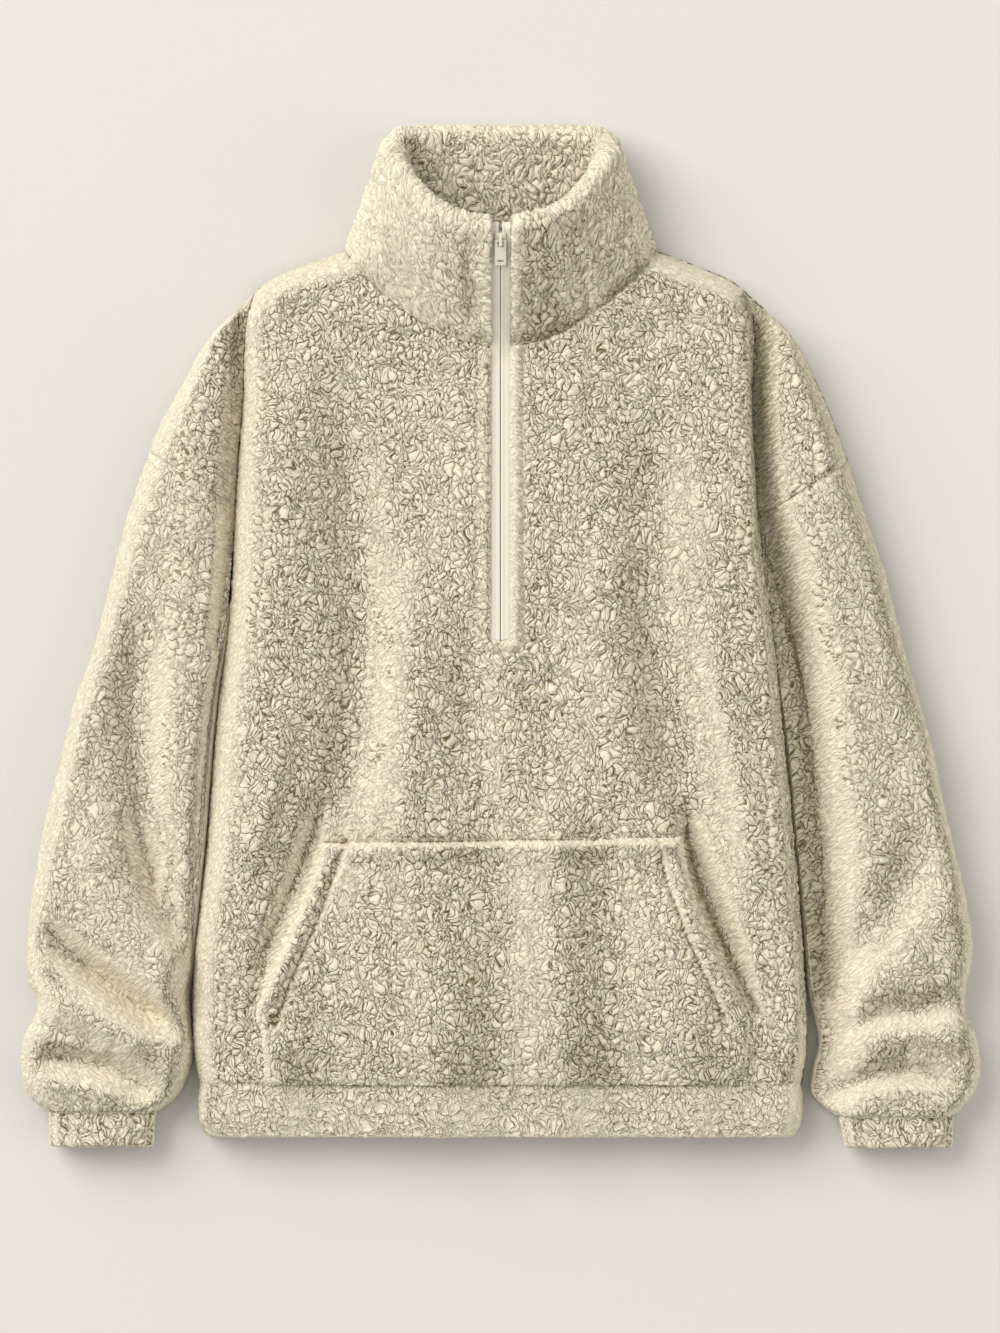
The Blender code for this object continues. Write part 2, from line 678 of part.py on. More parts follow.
def hem_ring(share, inset):
    """One ring of the hem band, `share` of the way down from its seam."""
    row = named(HEM_COLUMNS, spline(HEM_ROWS, [share * (len(HEM_ROWS) - 1)])[0])
    roll, edge_z = row["roll"], row["edge_z"]
    length = row["right"] - row["left"]

    def points(steps, across, over):
        angles = np.linspace(0.0, math.pi / 2, steps + 1)
        near = roll * (1 - np.cos(angles))
        flat = np.linspace(roll, length - roll, across + 1)[1:-1]
        distance = np.concatenate([near, flat, (length - near)[::-1]])
        cosine, sine = turn(np.minimum(distance, length - distance), roll)
        inward = np.where(distance < length / 2, 1.0, -1.0)
        x = row["left"] + distance + inward * inset * cosine
        y = np.full(len(x), row["y"])
        if over:
            top = body_height(x, y) - row["drop"]
            z = edge_z + (top - inset - edge_z) * sine
        else:
            z = edge_z - (edge_z - inset) * sine
        return np.column_stack([x, y, z])

    above = points(ROLL_STEPS, HEM_ACROSS, True)
    below = points(UNDER_ROLL_STEPS, HEM_UNDER, False)
    return np.vstack([above, below[-2:0:-1]])


def make_hem(finish, collection):
    rings = [hem_ring(share, 0.0) for share in (0.0, HEM_LIP / 2, HEM_LIP)]
    rings.append(hem_ring(1.0, HEM_WALL / 2))
    rings += [hem_ring(share, HEM_WALL) for share in (HEM_LIP, HEM_LIP / 2, 0.0)]
    return ring_wall("hem_band", rings, finish, collection)


def front_grid(side, rows):
    length = row_span(side, rows, "front")[2]
    return roll_distances(length, rows["roll"], ROLL_STEPS, FRONT_ACROSS)


def pocket_edge(side, y):
    table = named(POCKET_COLUMNS, even_spline(POCKET_ROWS, 4)[::-1])
    return np.interp(y, table["y"], table[side])


def make_pocket(finish, collection):
    """The pocket, on the front's own points: each row is cut at its outline."""
    rows = body_rows(front_places())
    below = int(np.searchsorted(rows["front_y"], POCKET_ROWS[0][0]))
    halves = []
    for side in ("left", "right"):
        grid = front_face(side, rows, front_grid(side, rows), 0.0)[:below + 1]
        share = (POCKET_ROWS[0][0] - grid[-2, :, 1]) / (grid[-1, :, 1] - grid[-2, :, 1])
        grid[-1] = grid[-2] + (grid[-1] - grid[-2]) * share[:, None]
        grid[0, :, 1] += SEAM
        for row in grid:
            edge = pocket_edge(side, row[:, 1].mean())
            order = 1 if side == "left" else -1
            kept = np.maximum(row[:, 0], edge) if side == "left" else np.minimum(row[:, 0], edge)
            line = row[::order].copy()
            for k in (1, 2):
                row[:, k] = np.interp(kept, line[:, 0], line[:, k])
            row[:, 0] = kept
        halves.append(grid)
    patches = []
    for grid in halves:
        under, face = grid.copy(), grid.copy()
        under[..., 2] += POCKET_GAP
        face[..., 2] += POCKET_GAP + POCKET_WALL
        patches.append((face, under))
    return panel_wall("pocket", patches, finish, collection)


# ------------------------------------------------------------------- collar

def neck_seam(side, share):
    """The collar's foot: along the front neck seam, then along the back's."""
    rows = body_rows(np.array([float(NECK_ROW)]))
    if share <= 0.5:
        edge, _, length = row_span(side, rows, "front")
        to_zip = length * (1 - ZIP_SLIT / abs(edge[0, 0]))
        return front_face(side, rows, (to_zip * (1 - share / 0.5))[:, None], 0.0)[0, 0]
    length = row_span(side, rows, "back")[2]
    return back_face(side, rows, (length * (share - 0.5) / 0.5)[:, None], 0.0)[0, 0]


def collar_lines():
    """Foot and rim of the collar, from the zip's left side round to its right."""
    shares = np.array(COLLAR_SHARES)
    known = named(RIM_COLUMNS, COLLAR_RIM_ROWS)["share"]
    rim = spline(COLLAR_RIM_ROWS, np.interp(shares, known, np.arange(len(known))))[:, 1:]
    foot_left = np.array([neck_seam("left", share) for share in shares])
    foot_right = np.array([neck_seam("right", share) for share in shares])
    foot = np.vstack([foot_left, foot_right[-2::-1]])
    rim = np.vstack([rim, (rim * (-1, 1, 1))[-2::-1]])
    return foot, rim


def collar_sections():
    """Closed sections: up the outside, over the thick rim, down the inside."""
    foot, rim = collar_lines()
    rise = unit(rim - foot)
    along = np.gradient((foot + rim) / 2, axis=0)
    outward = unit(-np.cross(along, rise))
    for end in (0, -1):
        outward[end, 0] = 0.0
    outward = unit(outward)
    at_foot = unit(outward * (1, 0, 1))
    foot = foot + rise * 2 * SEAM
    rise = unit(rim - (foot - at_foot * COLLAR_BASE / 2))
    sections = []
    for level in np.linspace(0.0, 1.0, COLLAR_RISE + 1):
        normal = unit(at_foot + (outward - at_foot) * level)
        wall = COLLAR_BASE + (COLLAR_RIM - COLLAR_BASE) * level
        middle = (foot - at_foot * COLLAR_BASE / 2) * (1 - level) + rim * level
        swell = COLLAR_BULGE * math.sin(math.pi * level) * np.clip(normal[:, 2:], 0, 1)
        sections.append((middle + normal * swell, normal * wall / 2))
    outside = [middle + half for middle, half in sections]
    inside = [middle - half for middle, half in sections[::-1]]
    lip = []
    for angle in np.linspace(0.0, math.pi, RIM_STEPS + 1)[1:-1]:
        lip.append(rim + (outward * math.cos(angle) + rise * math.sin(angle)) * COLLAR_RIM / 2)
    loops = np.stack(outside + lip + inside, axis=1)
    loops[..., 2] = np.maximum(loops[..., 2], 0.0)
    for end, x in ((0, -ZIP_SLIT), (-1, ZIP_SLIT)):
        loops[end, :, 0] = x
    return loops


def make_collar(finish, collection):
    return strip_wall("collar", collar_sections(), finish, collection)


# ---------------------------------------------------------------------- zip

def zip_line():
    """Y and Z of the fleece face along the zip, from its foot to the rim."""
    neck = BODY_ROWS[NECK_ROW][0] - ZIP_NECK_GAP
    y = np.linspace(ZIP_FOOT + SEAM, neck, ZIP_STEPS + 1)
    body = np.column_stack([y, body_height(np.zeros(len(y)), y)])
    collar = collar_sections()[0][1:COLLAR_RISE + 1, 1:]
    return np.vstack([body, collar])


def zip_frame(line):
    """Unit directions along the zip and out of its face, in Y and Z."""
    along = unit(np.gradient(line, axis=0))
    return along, np.column_stack([-along[:, 1], along[:, 0]])


def zip_strip(name, near, far, sink, thickness, line, finish, collection):
    """A flat strip that follows the zip line between two distances from it."""
    _, out = zip_frame(line)
    top = line - out * sink
    bottom = top - out * thickness
    sections = []
    for upper, lower, x_near, x_far in zip(top, bottom, near, far):
        sections.append(np.array([(x_near, *upper), (x_far, *upper),
                                  (x_far, *lower), (x_near, *lower)]))
    return strip_wall(name, sections, finish, collection)


def make_tapes_and_chain(tape_finish, chain_finish, collection):
    line = zip_line()
    spread = smooth((line[:, 0] - (SLIDER_Y - TAPE_SPREAD[0])) / TAPE_SPREAD[1])
    near = CHAIN_GAP + spread * (SLIDER_POST[0] / 2 + SEAM - CHAIN_GAP)
    far = np.full(len(line), ZIP_SLIT - SEAM)
    for side, sign in (("left", -1), ("right", 1)):
        zip_strip("zip_tape_" + side, sign * near, sign * far, TAPE_SINK, TAPE,
                  line, tape_finish, collection)
    below = line[line[:, 0] < SLIDER_Y - SLIDER_SIZE[1]]
    half = np.full(len(below), CHAIN_WIDTH / 2)
    zip_strip("zip_chain", -half, half, TAPE_SINK + TAPE + SEAM, CHAIN_DEPTH,
              below, chain_finish, collection)


def slider_frame():
    """The slider's frame: on the tape, along the zip, tilted with the collar."""
    line = zip_line()
    along, out = zip_frame(line)
    at = [np.interp(SLIDER_Y, line[:, 0], column)
          for column in (line[:, 1], along[:, 0], along[:, 1], out[:, 0], out[:, 1])]
    y = SLIDER_Y - at[3] * TAPE_SINK
    z = at[0] - at[4] * TAPE_SINK
    slope = math.atan2(at[2], at[1])
    return Matrix.Translation((0.0, y * MM, z * MM)) @ Matrix.Rotation(slope, 4, "X")


def make_slider(frame, finish, collection, guides):
    width, length, plate = SLIDER_SIZE
    top = SEAM + plate
    bottom = -(TAPE + SEAM + SLIDER_UNDER)
    slider = block("zip_slider", SLIDER_SIZE, (0, 0, SEAM + plate / 2), frame)
    under = block("slider_under_plate", (width, length, SLIDER_UNDER),
                  (0, 0, bottom + SLIDER_UNDER / 2), frame)
    post = block("slider_post", (*SLIDER_POST, top - bottom - 2 * OVERLAP),
                 (0, POST_ALONG, (top + bottom) / 2), frame)
    crown = block("slider_crown", (CROWN[0], CROWN[1], CROWN[2] + OVERLAP),
                  (0, 0, top + (CROWN[2] - OVERLAP) / 2), frame)
    eye = block("slider_eye", (CROWN[0] * 2, *CROWN_EYE),
                (0, 0, top + EYE_RISE + CROWN_EYE[1] / 2), frame)
    combine(slider, under, "UNION", guides)
    combine(slider, post, "UNION", guides)
    combine(slider, crown, "UNION", guides)
    combine(slider, eye, "DIFFERENCE", guides)
    slider.data.materials.append(finish)
    move_to(slider, collection)


def make_pull(frame, finish, collection, guides):
    """The pull tab, with its origin on the hinge axis."""
    width, length, plate = PULL_SIZE
    top = SEAM + SLIDER_SIZE[2]
    hinge = frame @ Matrix.Translation((0.0, 0.0, (top + HINGE_RISE) * MM))
    hinge = hinge @ Matrix.Rotation(math.radians(PULL_DROOP), 4, "X")
    head = plate / 2
    pull = block("zip_pull", PULL_SIZE, (0, head - length / 2, 0), hinge)
    window = block("pull_window", (PULL_WINDOW[0], PULL_WINDOW[1], plate * 3),
                   (0, -head - PULL_WINDOW[1] / 2, 0), hinge)
    slot = block("pull_slot", (PULL_SLOT[0], PULL_SLOT[1], plate * 3),
                 (0, head - length + SLOT_FROM_TIP, 0), hinge)
    combine(pull, window, "DIFFERENCE", guides)
    combine(pull, slot, "DIFFERENCE", guides)
    pull.data.materials.append(finish)
    move_to(pull, collection)


# --------------------------------------------------------------------- main

def main():
    for old in list(bpy.data.objects):
        bpy.data.objects.remove(old)
    garment = bpy.data.collections.new("fleece_pullover")
    guides = bpy.data.collections.new("cutters")
    for collection in (garment, guides):
        bpy.context.scene.collection.children.link(collection)

    fleece = material("oat_sherpa", (0.76, 0.71, 0.59), 0.95)
    trim = material("cream_tape", (0.87, 0.83, 0.74), 0.75)
    coil = material("cream_coil", (0.82, 0.78, 0.68), 0.5)
    metal = material("cream_enamel", (0.85, 0.81, 0.72), 0.35)

    make_front(fleece, garment, guides)
    make_back(fleece, garment)
    for side in ("left", "right"):
        make_sleeve(side, fleece, garment)
        make_cuff(side, fleece, garment)
    make_hem(fleece, garment)
    make_pocket(fleece, garment)
    make_collar(fleece, garment)
    make_tapes_and_chain(trim, coil, garment)
    frame = slider_frame()
    make_slider(frame, metal, garment, guides)
    make_pull(frame, metal, garment, guides)


main()
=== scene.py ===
"""The looks of a half-zip sherpa fleece pullover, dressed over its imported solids.

Lengths are in millimetres in the solids' own frame: +Z up, the collar towards
+Y, "left" on the -X side.  Each cloth piece repeats its solid's form on a fine
grid, adds the smaller creases, and is then raised into curls of pile.
"""

import math

import bmesh
import bpy
import numpy as np
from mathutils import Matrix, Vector


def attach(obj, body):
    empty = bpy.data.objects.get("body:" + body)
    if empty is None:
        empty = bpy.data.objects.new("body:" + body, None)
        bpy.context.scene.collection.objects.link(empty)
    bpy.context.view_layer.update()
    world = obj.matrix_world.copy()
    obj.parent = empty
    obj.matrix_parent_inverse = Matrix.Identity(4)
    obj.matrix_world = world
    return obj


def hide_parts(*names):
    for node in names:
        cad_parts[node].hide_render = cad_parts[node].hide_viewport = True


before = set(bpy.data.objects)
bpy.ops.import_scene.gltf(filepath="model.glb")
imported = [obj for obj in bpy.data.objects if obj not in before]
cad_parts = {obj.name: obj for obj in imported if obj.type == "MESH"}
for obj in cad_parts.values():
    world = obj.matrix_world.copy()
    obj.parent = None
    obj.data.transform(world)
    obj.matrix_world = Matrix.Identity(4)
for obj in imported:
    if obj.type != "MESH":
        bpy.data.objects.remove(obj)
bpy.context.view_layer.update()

MM = 0.001
STEP = 1.3       # grid spacing of the pile that shows
UNDER_STEP = 3.0                        # the same where the garment rests
EDGE_STEP = 2.0                         # and around its edges there
WELD = 0.02                             # points that are nearer than this become one
SIGN = {"left": -1, "right": 1}          # way out from the middle, along X

# ------------------------------------------------- sizes, as the solids have

HEM_WALL = 8.0
CUFF_WALL = 5.5
COLLAR_BASE = 12.0
COLLAR_RIM = 18.0
SEAM = 0.3
LOFT = 40.0
CROWN_RISE = 4.0
CROWN_SPREAD = 170.0
HEM_DROP = 9.0
HEM_DROP_FROM = -250.0
HEM_DROP_LENGTH = 130.0
SIDE_SEAM = 8.0

ZIP_SLIT = 9.0                          # half width of the slit in the front
FLEECE_SLIT = 7.6                       # the same between the piles, which overhang the tapes
ZIP_FOOT = -2.0
TAPE = 1.2
TAPE_SINK = 2.4
CHAIN_GAP = 0.3
ZIP_NECK_GAP = 6.0
TAPE_SPREAD = (9.0, 7.0)
CHAIN_DEPTH = 1.4
POCKET_RISE = 6.6

ROW_COLUMNS = ("front_y", "back_y", "left_x", "left_y", "right_x", "right_y",
               "edge_z", "roll", "rim")
EDGE_SETTINGS = ("edge_z", "roll", "rim")
BODY_ROWS = (
    # front  back   left        right      edge roll rim
    (-347, -347, -234, -347, 234, -347, 8, 18, 1),      # hem seam
    (-316, -316, -239, -312, 238, -312, 8, 20, 1),
    (-250, -250, -238, -242, 235, -242, 8, 21, 1),
    (-176, -176, -230, -165, 229, -165, 8, 21, 1),
    (-95, -95, -222, -64, 219, -64, 8, 21, 1),
    (-44, -44, -214, -2, 213, -2, 8, 20, 1),
    (-2, -2, -209, 53, 205, 53, 9, 19, 1),              # foot of the zip
    (37, 37, -206, 103, 200, 93, 12, 17, 0.5),          # armhole seam's front
    (72, 76, -203, 146, 197, 146, 15, 16, 0),
    (107, 115, -200, 185, 195, 185, 17, 16, 0),
    (134, 154, -199, 220, 196, 220, 26, 17, 0),
    (158, 193, -196, 251, 195, 250, 29, 19, 0),
    (177, 232, -186, 274, 186, 273, 8, 20, 1),          # groove meets shoulder
    (200, 263, -156, 289, 156, 288, 8, 20, 1),
    (228, 295, -121, 301, 121, 301, 8, 20, 1),          # neck seam
)
ZIP_ROW = 6
ARMHOLE_ROW = 7
SHOULDER_ROW = 12
NECK_ROW = 14
NECK_DIP = 19.0
NECK_DIP_ROW = 10

SHOULDER_EDGE = {
    "left": ((-273, 146), (-267, 162), (-257, 181), (-246, 200), (-234, 222), (-221, 240)),
    "right": ((270, 138), (262, 159), (253, 182), (243, 204), (234, 222), (222, 240)),
}
SHOULDER_ROLL = 18.0

SLEEVE_COLUMNS = ("outer_x", "outer_y", "inner_x", "inner_y")
SLEEVE_ROWS = {
    "left": (
        (-273, 146, -213, 14), (-290, 96, -216, -10), (-305, 37, -222, -45),
        (-318, -13, -226, -82), (-332, -52, -229, -120), (-343, -99, -232, -158),
        (-353, -138, -236, -196), (-361, -180, -239, -227), (-367, -223, -241, -254),
        (-368, -262, -245, -277), (-360, -287, -244, -298), (-371, -312, -242, -320),
        (-373, -334, -246, -340), (-368, -355, -255, -357), (-352, -368, -268, -368),
    ),
    "right": (
        (270, 138, 212, 14), (285, 92, 215, -10), (301, 44, 219, -45),
        (312, -2, 224, -83), (324, -44, 228, -122), (335, -83, 231, -161),
        (344, -126, 235, -197), (353, -165, 238, -227), (362, -204, 240, -252),
        (367, -242, 242, -274), (361, -284, 248, -298), (369, -308, 251, -316),
        (373, -332, 246, -337), (368, -354, 246, -356), (353, -372, 263, -372),
    ),
}
SLEEVE_LOFT = 41.0
ARM_SEAM = 17.0
WRIST_DROP = 8.0
WRIST_DROP_FROM = -290.0
WRIST_DROP_LENGTH = 80.0
SLEEVE_ROLL = 19.0
WRIST_ROLL = 16.0
WRIST_SEAM = 14.5
WRIST_SHARE = 0.75
ARMHOLE_FADE = 0.34

CUFFS = {
    "left": {"seam": (-310, -368.3), "end": (-311, -395.5), "half": (42, 41)},
    "right": {"seam": (308, -372.3), "end": (310, -396.5), "half": (45, 42)},
}
CUFF_LOFT = 30.0
CUFF_GATHERS = 12
CUFF_GATHER_DEPTH = 1.6
CUFF_SQUARE = (0.62, 0.75)
CUFF_LIP = 0.88

RIM_COLUMNS = ("share", "x", "y", "z")
COLLAR_RIM_ROWS = (
    (0.00, -9, 314, 76), (0.15, -36, 320, 73), (0.30, -59, 335, 66), (0.42, -75, 355, 54),
    (0.50, -83, 371, 40), (0.58, -82, 383, 26), (0.68, -66, 387, 14), (0.80, -40, 387.5, 9.2),
    (1.00, 0, 387.5, 9.2),
)
COLLAR_BULGE = 3.0
COLLAR_SHARES = (0, 0.08, 0.16, 0.24, 0.31, 0.37, 0.42, 0.46, 0.50,
                 0.54, 0.58, 0.63, 0.70, 0.80, 0.90, 1.0)
COLLAR_RISE = 4
RIM_STEPS = 4

HEM_COLUMNS = ("y", "left", "right", "edge_z", "roll", "drop")
HEM_ROWS = (
    (-347.3, -234, 234, 8, 18, 0.0), (-362, -236, 236, 8, 18, 0.6),
    (-377, -235, 235, 8, 17, 1.2), (-388.5, -229, 229, 8, 16, 3.0),
)
HEM_LIP = 0.93

POCKET_COLUMNS = ("y", "left", "right")
POCKET_ROWS = (
    (-155, -137, 141), (-188, -148, 147), (-227, -164, 161), (-266, -181, 179),
    (-291, -190, 192), (-305, -186, 193), (-328, -184, 191), (-347, -183, 187),
)

# The large folds of the solids, some of them moved a little: height of the
# crest (a trough is negative), half width, and the points the fold runs through.
BODY_FOLDS = (
    (6, 24,  # chest ridge left
     ((-186, 239), (-176, 185), (-173, 107), (-178, 30),
      (-186, -48), (-195, -126), (-207, -204), (-214, -281))),
    (-12, 24,  # chest trough left
     ((-134, 250), (-124, 190), (-114, 130), (-110, 70), (-108, 14),
      (-110, -48), (-118, -110), (-150, -188), (-184, -250))),
    (6, 22,  # middle ridge left
     ((-72, 70), (-68, 30), (-68, -10), (-70, -60), (-72, -141), (-54, -235),
      (-48, -310), (-52, -390), (-54, -470))),
    (-6, 34, ((-74, 262), (-70, 200), (-68, 140), (-66, 80), (-64, 20))),  # chest hollow left
    (-5, 18,  # middle trough left
     ((-26, 90), (-22, -9), (-17, -110), (-2, -204), (0, -385), (0, -470))),
    (-4, 20, ((-130, -130), (-134, -250), (-136, -385), (-136, -450))),  # pocket trough left
    (6, 19, ((44, -90), (43, -190), (46, -300), (46, -450))),  # pocket ridge middle
    (-5, 18, ((82, -110), (86, -190), (92, -300), (94, -450))),  # pocket trough right
    (-4, 18, ((26, 50), (34, -10), (40, -70), (44, -150))),  # middle trough right
    (6.5, 22, ((80, 100), (86, 30), (94, -48), (108, -131))),  # middle ridge right
    (-8, 23,  # chest trough right
     ((124, 230), (121, 160), (118, 90), (118, 14), (132, -48),
      (148, -118), (168, -200), (190, -262))),
    (5, 24,  # chest ridge right
     ((166, 206), (174, 92), (180, -9), (192, -110), (201, -204), (209, -281))),
    (5, 21, ((130, -165), (144, -250), (146, -385), (146, -450))),  # pocket ridge right
)
ARM_FOLDS = {
    "left": (
        (4, 15,  # long ridge
         ((-226, 228), (-240, 169), (-243, 92), (-247, 14),
          (-253, -64), (-258, -126), (-268, -180))),
        (-13, 20,  # elbow trough
         ((-276, 44), (-280, -17), (-279, -79), (-271, -141), (-258, -190), (-243, -240))),
        # elbow ridge
        (9, 17, ((-320, -120), (-312, -170), (-292, -215), (-262, -258), (-244, -276))),
        (-14, 11,  # bunch trough upper
         ((-362, -212), (-340, -240), (-310, -264), (-280, -288), (-246, -308))),
        (7, 12, ((-366, -272), (-330, -290), (-295, -306), (-262, -328))),  # bunch ridge middle
        (-14, 10,  # bunch trough lower
         ((-374, -324), (-335, -328), (-305, -334), (-282, -346), (-252, -364))),
        (5, 9, ((-366, -343), (-330, -349), (-290, -361))),  # bunch ridge lower
    ),
    "right": (
        (4, 19,  # long ridge
         ((232, 169), (244, 92), (254, -2), (266, -79), (282, -149))),
        (-9, 20, ((328, -110), (324, -172), (300, -216), (272, -248), (248, -270))),  # elbow trough
        (4.5, 18, ((352, -180), (332, -222), (298, -262), (256, -286))),  # bunch ridge upper
        (-10, 12, ((366, -268), (334, -288), (300, -290), (276, -286))),  # bunch trough upper
        (4, 12, ((262, -296), (292, -305), (330, -309), (372, -320))),  # bunch ridge middle
        (-11, 10,  # bunch trough lower
         ((244, -358), (270, -348), (300, -338), (330, -338), (366, -352))),
        (2, 9, ((256, -364), (310, -354), (356, -362))),  # bunch ridge lower
    ),
}
FOLD_FADE = 0.26                # share of its length over which a fold fades in and out
FOLD_REACH = 2.6                # widths from its line up to which a fold is counted

SLIDER_Y = 306.0
SLIDER_LENGTH = 11.0
SLIDER_POST = 2.0
TAPE_PROFILE = (
    # share across, height above the tape's face
    (0.00, -1.0), (0.00, -0.35), (0.02, 0.0), (0.06, 0.22), (0.14, 0.30), (0.24, 0.26),
    (0.31, 0.06), (0.34, -0.08), (0.38, 0.0), (0.70, 0.0), (0.98, 0.0), (1.00, -0.3), (1.00, -1.0),
)
COIL_PITCH = 1.5
COIL_POINTS = 8
COIL_SIDES = 4
COIL_WIRE = 0.25
COIL_CENTRE = 0.85
COIL_WIDE = 1.2
COIL_TALL = 0.42
ENAMEL_ROUND = 0.28             # radius of the slider's and the pull tab's edges
ENAMEL_SHARP = 40               # turn in degrees from which an edge is rounded
ENAMEL_FLAT = 0.02              # turn in radians up to which two faces count as one

# ---------------------------------------- smaller creases, grooves and seams

BODY_CREASES = (
    (3, 10, ((-160, -30), (-176, -110), (-198, -190))),  # drape beside the pocket left
    (3, 10, ((158, 20), (174, -60), (190, -140), (201, -216))),  # drape beside the pocket right
    (3, 13, ((-176, -300), (-172, -345), (-170, -395))),  # lower ridge far left
    (-10, 8,  # pocket side left
     ((-136, -120), (-148, -156), (-162, -196), (-178, -234), (-198, -290))),
    (-11, 9,  # pocket side right
     ((140, -120), (150, -160), (163, -200), (180, -240), (200, -296))),
    (-3, 12, ((-176, 262), (-132, 236), (-92, 226))),  # shoulder pull left
    (-3, 12, ((172, 262), (128, 240), (90, 226))),  # shoulder pull right
)
ARM_CREASES = {
    "left": (
        (3, 14, ((-326, -40), (-334, -100), (-338, -170))),  # outer ridge
        (-13, 9, ((-290, -120), (-276, -172), (-261, -208), (-236, -258))),  # elbow pinch
        (-11, 9, ((-346, -236), (-306, -268), (-268, -296), (-228, -316))),  # bunch pinch upper
        (-3, 7, ((-366, -296), (-336, -306), (-306, -318))),  # bunch pinch middle
    ),
    "right": (
        (-3, 13, ((290, 60), (306, 0), (316, -48), (322, -100))),  # outer hollow
        (3, 12, ((332, -70), (342, -120), (348, -160))),  # outer ridge
        (-8, 9, ((216, -316), (244, -312), (276, -302), (310, -288))),  # bunch pinch upper
        (-3, 7, ((300, -318), (334, -320), (368, -332))),  # bunch pinch middle
    ),
}

# Lines along the ridges where the pile parts into two rows of knobs.
BRAIDS = {
    "front": (
        ((-184, 236), (-182, 190), (-186, 140), (-184, 80), (-188, 20), (-190, -40)),
        ((-196, -96), (-203, -150), (-208, -200), (-212, -260), (-214, -330)),
        ((188, 226), (186, 170), (189, 110), (190, 50), (194, -10)),
        ((200, -70), (205, -130), (211, -190), (214, -250), (213, -320)),
        ((-96, 60), (-90, 0), (-92, -60), (-98, -120)),
    ),
    "left": (
        ((-230, 214), (-241, 160), (-245, 100), (-247, 40), (-251, -20), (-256, -80), (-260, -140)),
    ),
    "right": (
        ((238, 190), (244, 110), (250, 40), (260, -30), (270, -90), (280, -150)),
    ),
}
BRAID_WANDER = 1.8              # how far such a line wanders either way
KNOB = 7.6                      # length of one knob along the line
KNOB_ROW = 8.5                  # width of one row of knobs
LEAF_SLANT = 0.035              # turns by which a knob leans for each millimetre outwards
BRAID_SWAY = (11.0, 4.7)        # lengths of its long and its short waves
BRAID_NEAR = 12.0               # distance from the line up to which knobs are placed
BRAID_LOWEST = 20.0             # height over the floor from which they show
BRAID_FADE = 0.12

GROOVE_REACH = {                # (row, reach) of the hollow beside the body on the sleeves
    "left": ((0, 16), (14, 16)),
    "right": ((0, 46), (3, 58), (5, 56), (7, 26), (8, 20), (14, 17)),
}
GROOVE_HOLLOW = {"left": 0.4, "right": 1.0}     # share of its gentle slope against a round one
GROOVE_ROWS = {"left": 5, "right": 0}           # lowest body row that it runs along
GROOVE_DEEPER = {"left": 0.0, "right": 5.5}     # how much deeper its floor is than the solids'
EDGE_TIGHT = {"left": 1.0, "right": 0.5}        # roll of the body's edges against the solid's
GROOVE_SHADE = {                # (row, reach) of the line in it where the pile is pressed down and darkened by painted shade
    "left": ((7, 11), (11.5, 8)),
    "right": ((1.6, 18), (4, 19), (7, 14), (11.5, 8)),
}
GROOVE_PRESS = {"left": (2.6, 7.0), "right": (4.0, 17.0)}       # its depth and half width
EDGE_SHADE = {                  # painted shade on the body's edge there, with its nap opened: width, fade and darkness
    "left": (2.0, 5.0, 0.0),
    "right": (2.0, 5.0, 0.32),
}
GROOVE_FILL = {                 # (y, z) that the sleeve keeps where it meets the body
    "left": ((-262, 10), (-222, 27), (-150, 31), (-40, 29), (60, 22), (110, 14)),
    "right": ((-262, 12), (-200, 17), (-40, 18), (110, 16)),
}
GROOVE_FILL_MOST = 34.0
GROOVE_FILL_FROM = (0.6, 0.2)   # share across the sleeve from which it does, and its fade
SLEEVE_LIE = -0.7               # least that the nap of the sleeves and of the hem band lies over
HEM_LIE = -0.76
CUFF_PILE = 0.7                 # height of the cuffs' pile against the body's

SEAM_DENT = (1.3, 2.6)          # depth and half width of a sewn seam in the pile
SEWN_FULL = 4.0                 # depth of such a dent at which it is darkest
STITCH_DENT = (1.0, 1.6)
HEM_SEAM = -347.15              # Y of the seam that joins the hem band, then of its stitches
HEM_STITCH = -353.2
CUFF_SEAM = 45                  # half length of the seam above a cuff
ZIP_EDGE = (1.8, 4.4, 3.4)      # turned edge beside the zip: rise, place and half width
ZIP_EDGE_STITCH = 10.5          # distance from the slit of the stitches along it
ZIP_EDGE_TURN = 2.0             # how far the edge turns down into the slit
ZIP_PILE = 0.45                 # height of the pile on that edge, where it is brushed smooth
ZIP_BRUSHED = {"left": 0.3, "right": 0.9}
POCKET_ROUND = 6.0              # radius of the pocket's edge
POCKET_SEWN = 2.6               # rise of the pocket where the hem seam holds it
POCKET_TAPER = 34.0             # length over which it rises from there
POCKET_BAND = (2.6, 8.0, 6.5)   # hand openings' turned band: rise, place and half width
POCKET_TOP = (1.8, 5.0, 4.5)    # the same for the ridge along the pocket's top
POCKET_BAND_END = -289.0        # Y of the lower end of the hand openings
POCKET_SHADE = {                # the front's pile is pressed down beside the hand openings, and darkened there by painted shade
    "left": (((-141, -150), (-151, -190), (-166, -226), (-184, -264), (-196, -290)), (1.6, 3.6)),
    "right": (((143, -150), (153, -190), (168, -226), (185, -262), (198, -288)), (4.5, 7.0)),
}
POCKET_STITCHES = (
    (((-119, -157), (-131, -190), (-146, -228), (-163, -267), (-174, -300)), (2.6, 3.0)),
    (((122, -157), (129, -190), (143, -228), (160, -266), (176, -300)), (2.6, 3.0)),
)

HEM_BULGE = 1.6                 # rise of the hem band over its solid's face
HEM_OVERLAP = 1.2               # reach of its pile over the seam
HEM_STEP = 2.0 * STEP / 1.3
HEM_UNDER_STEP = 4.0

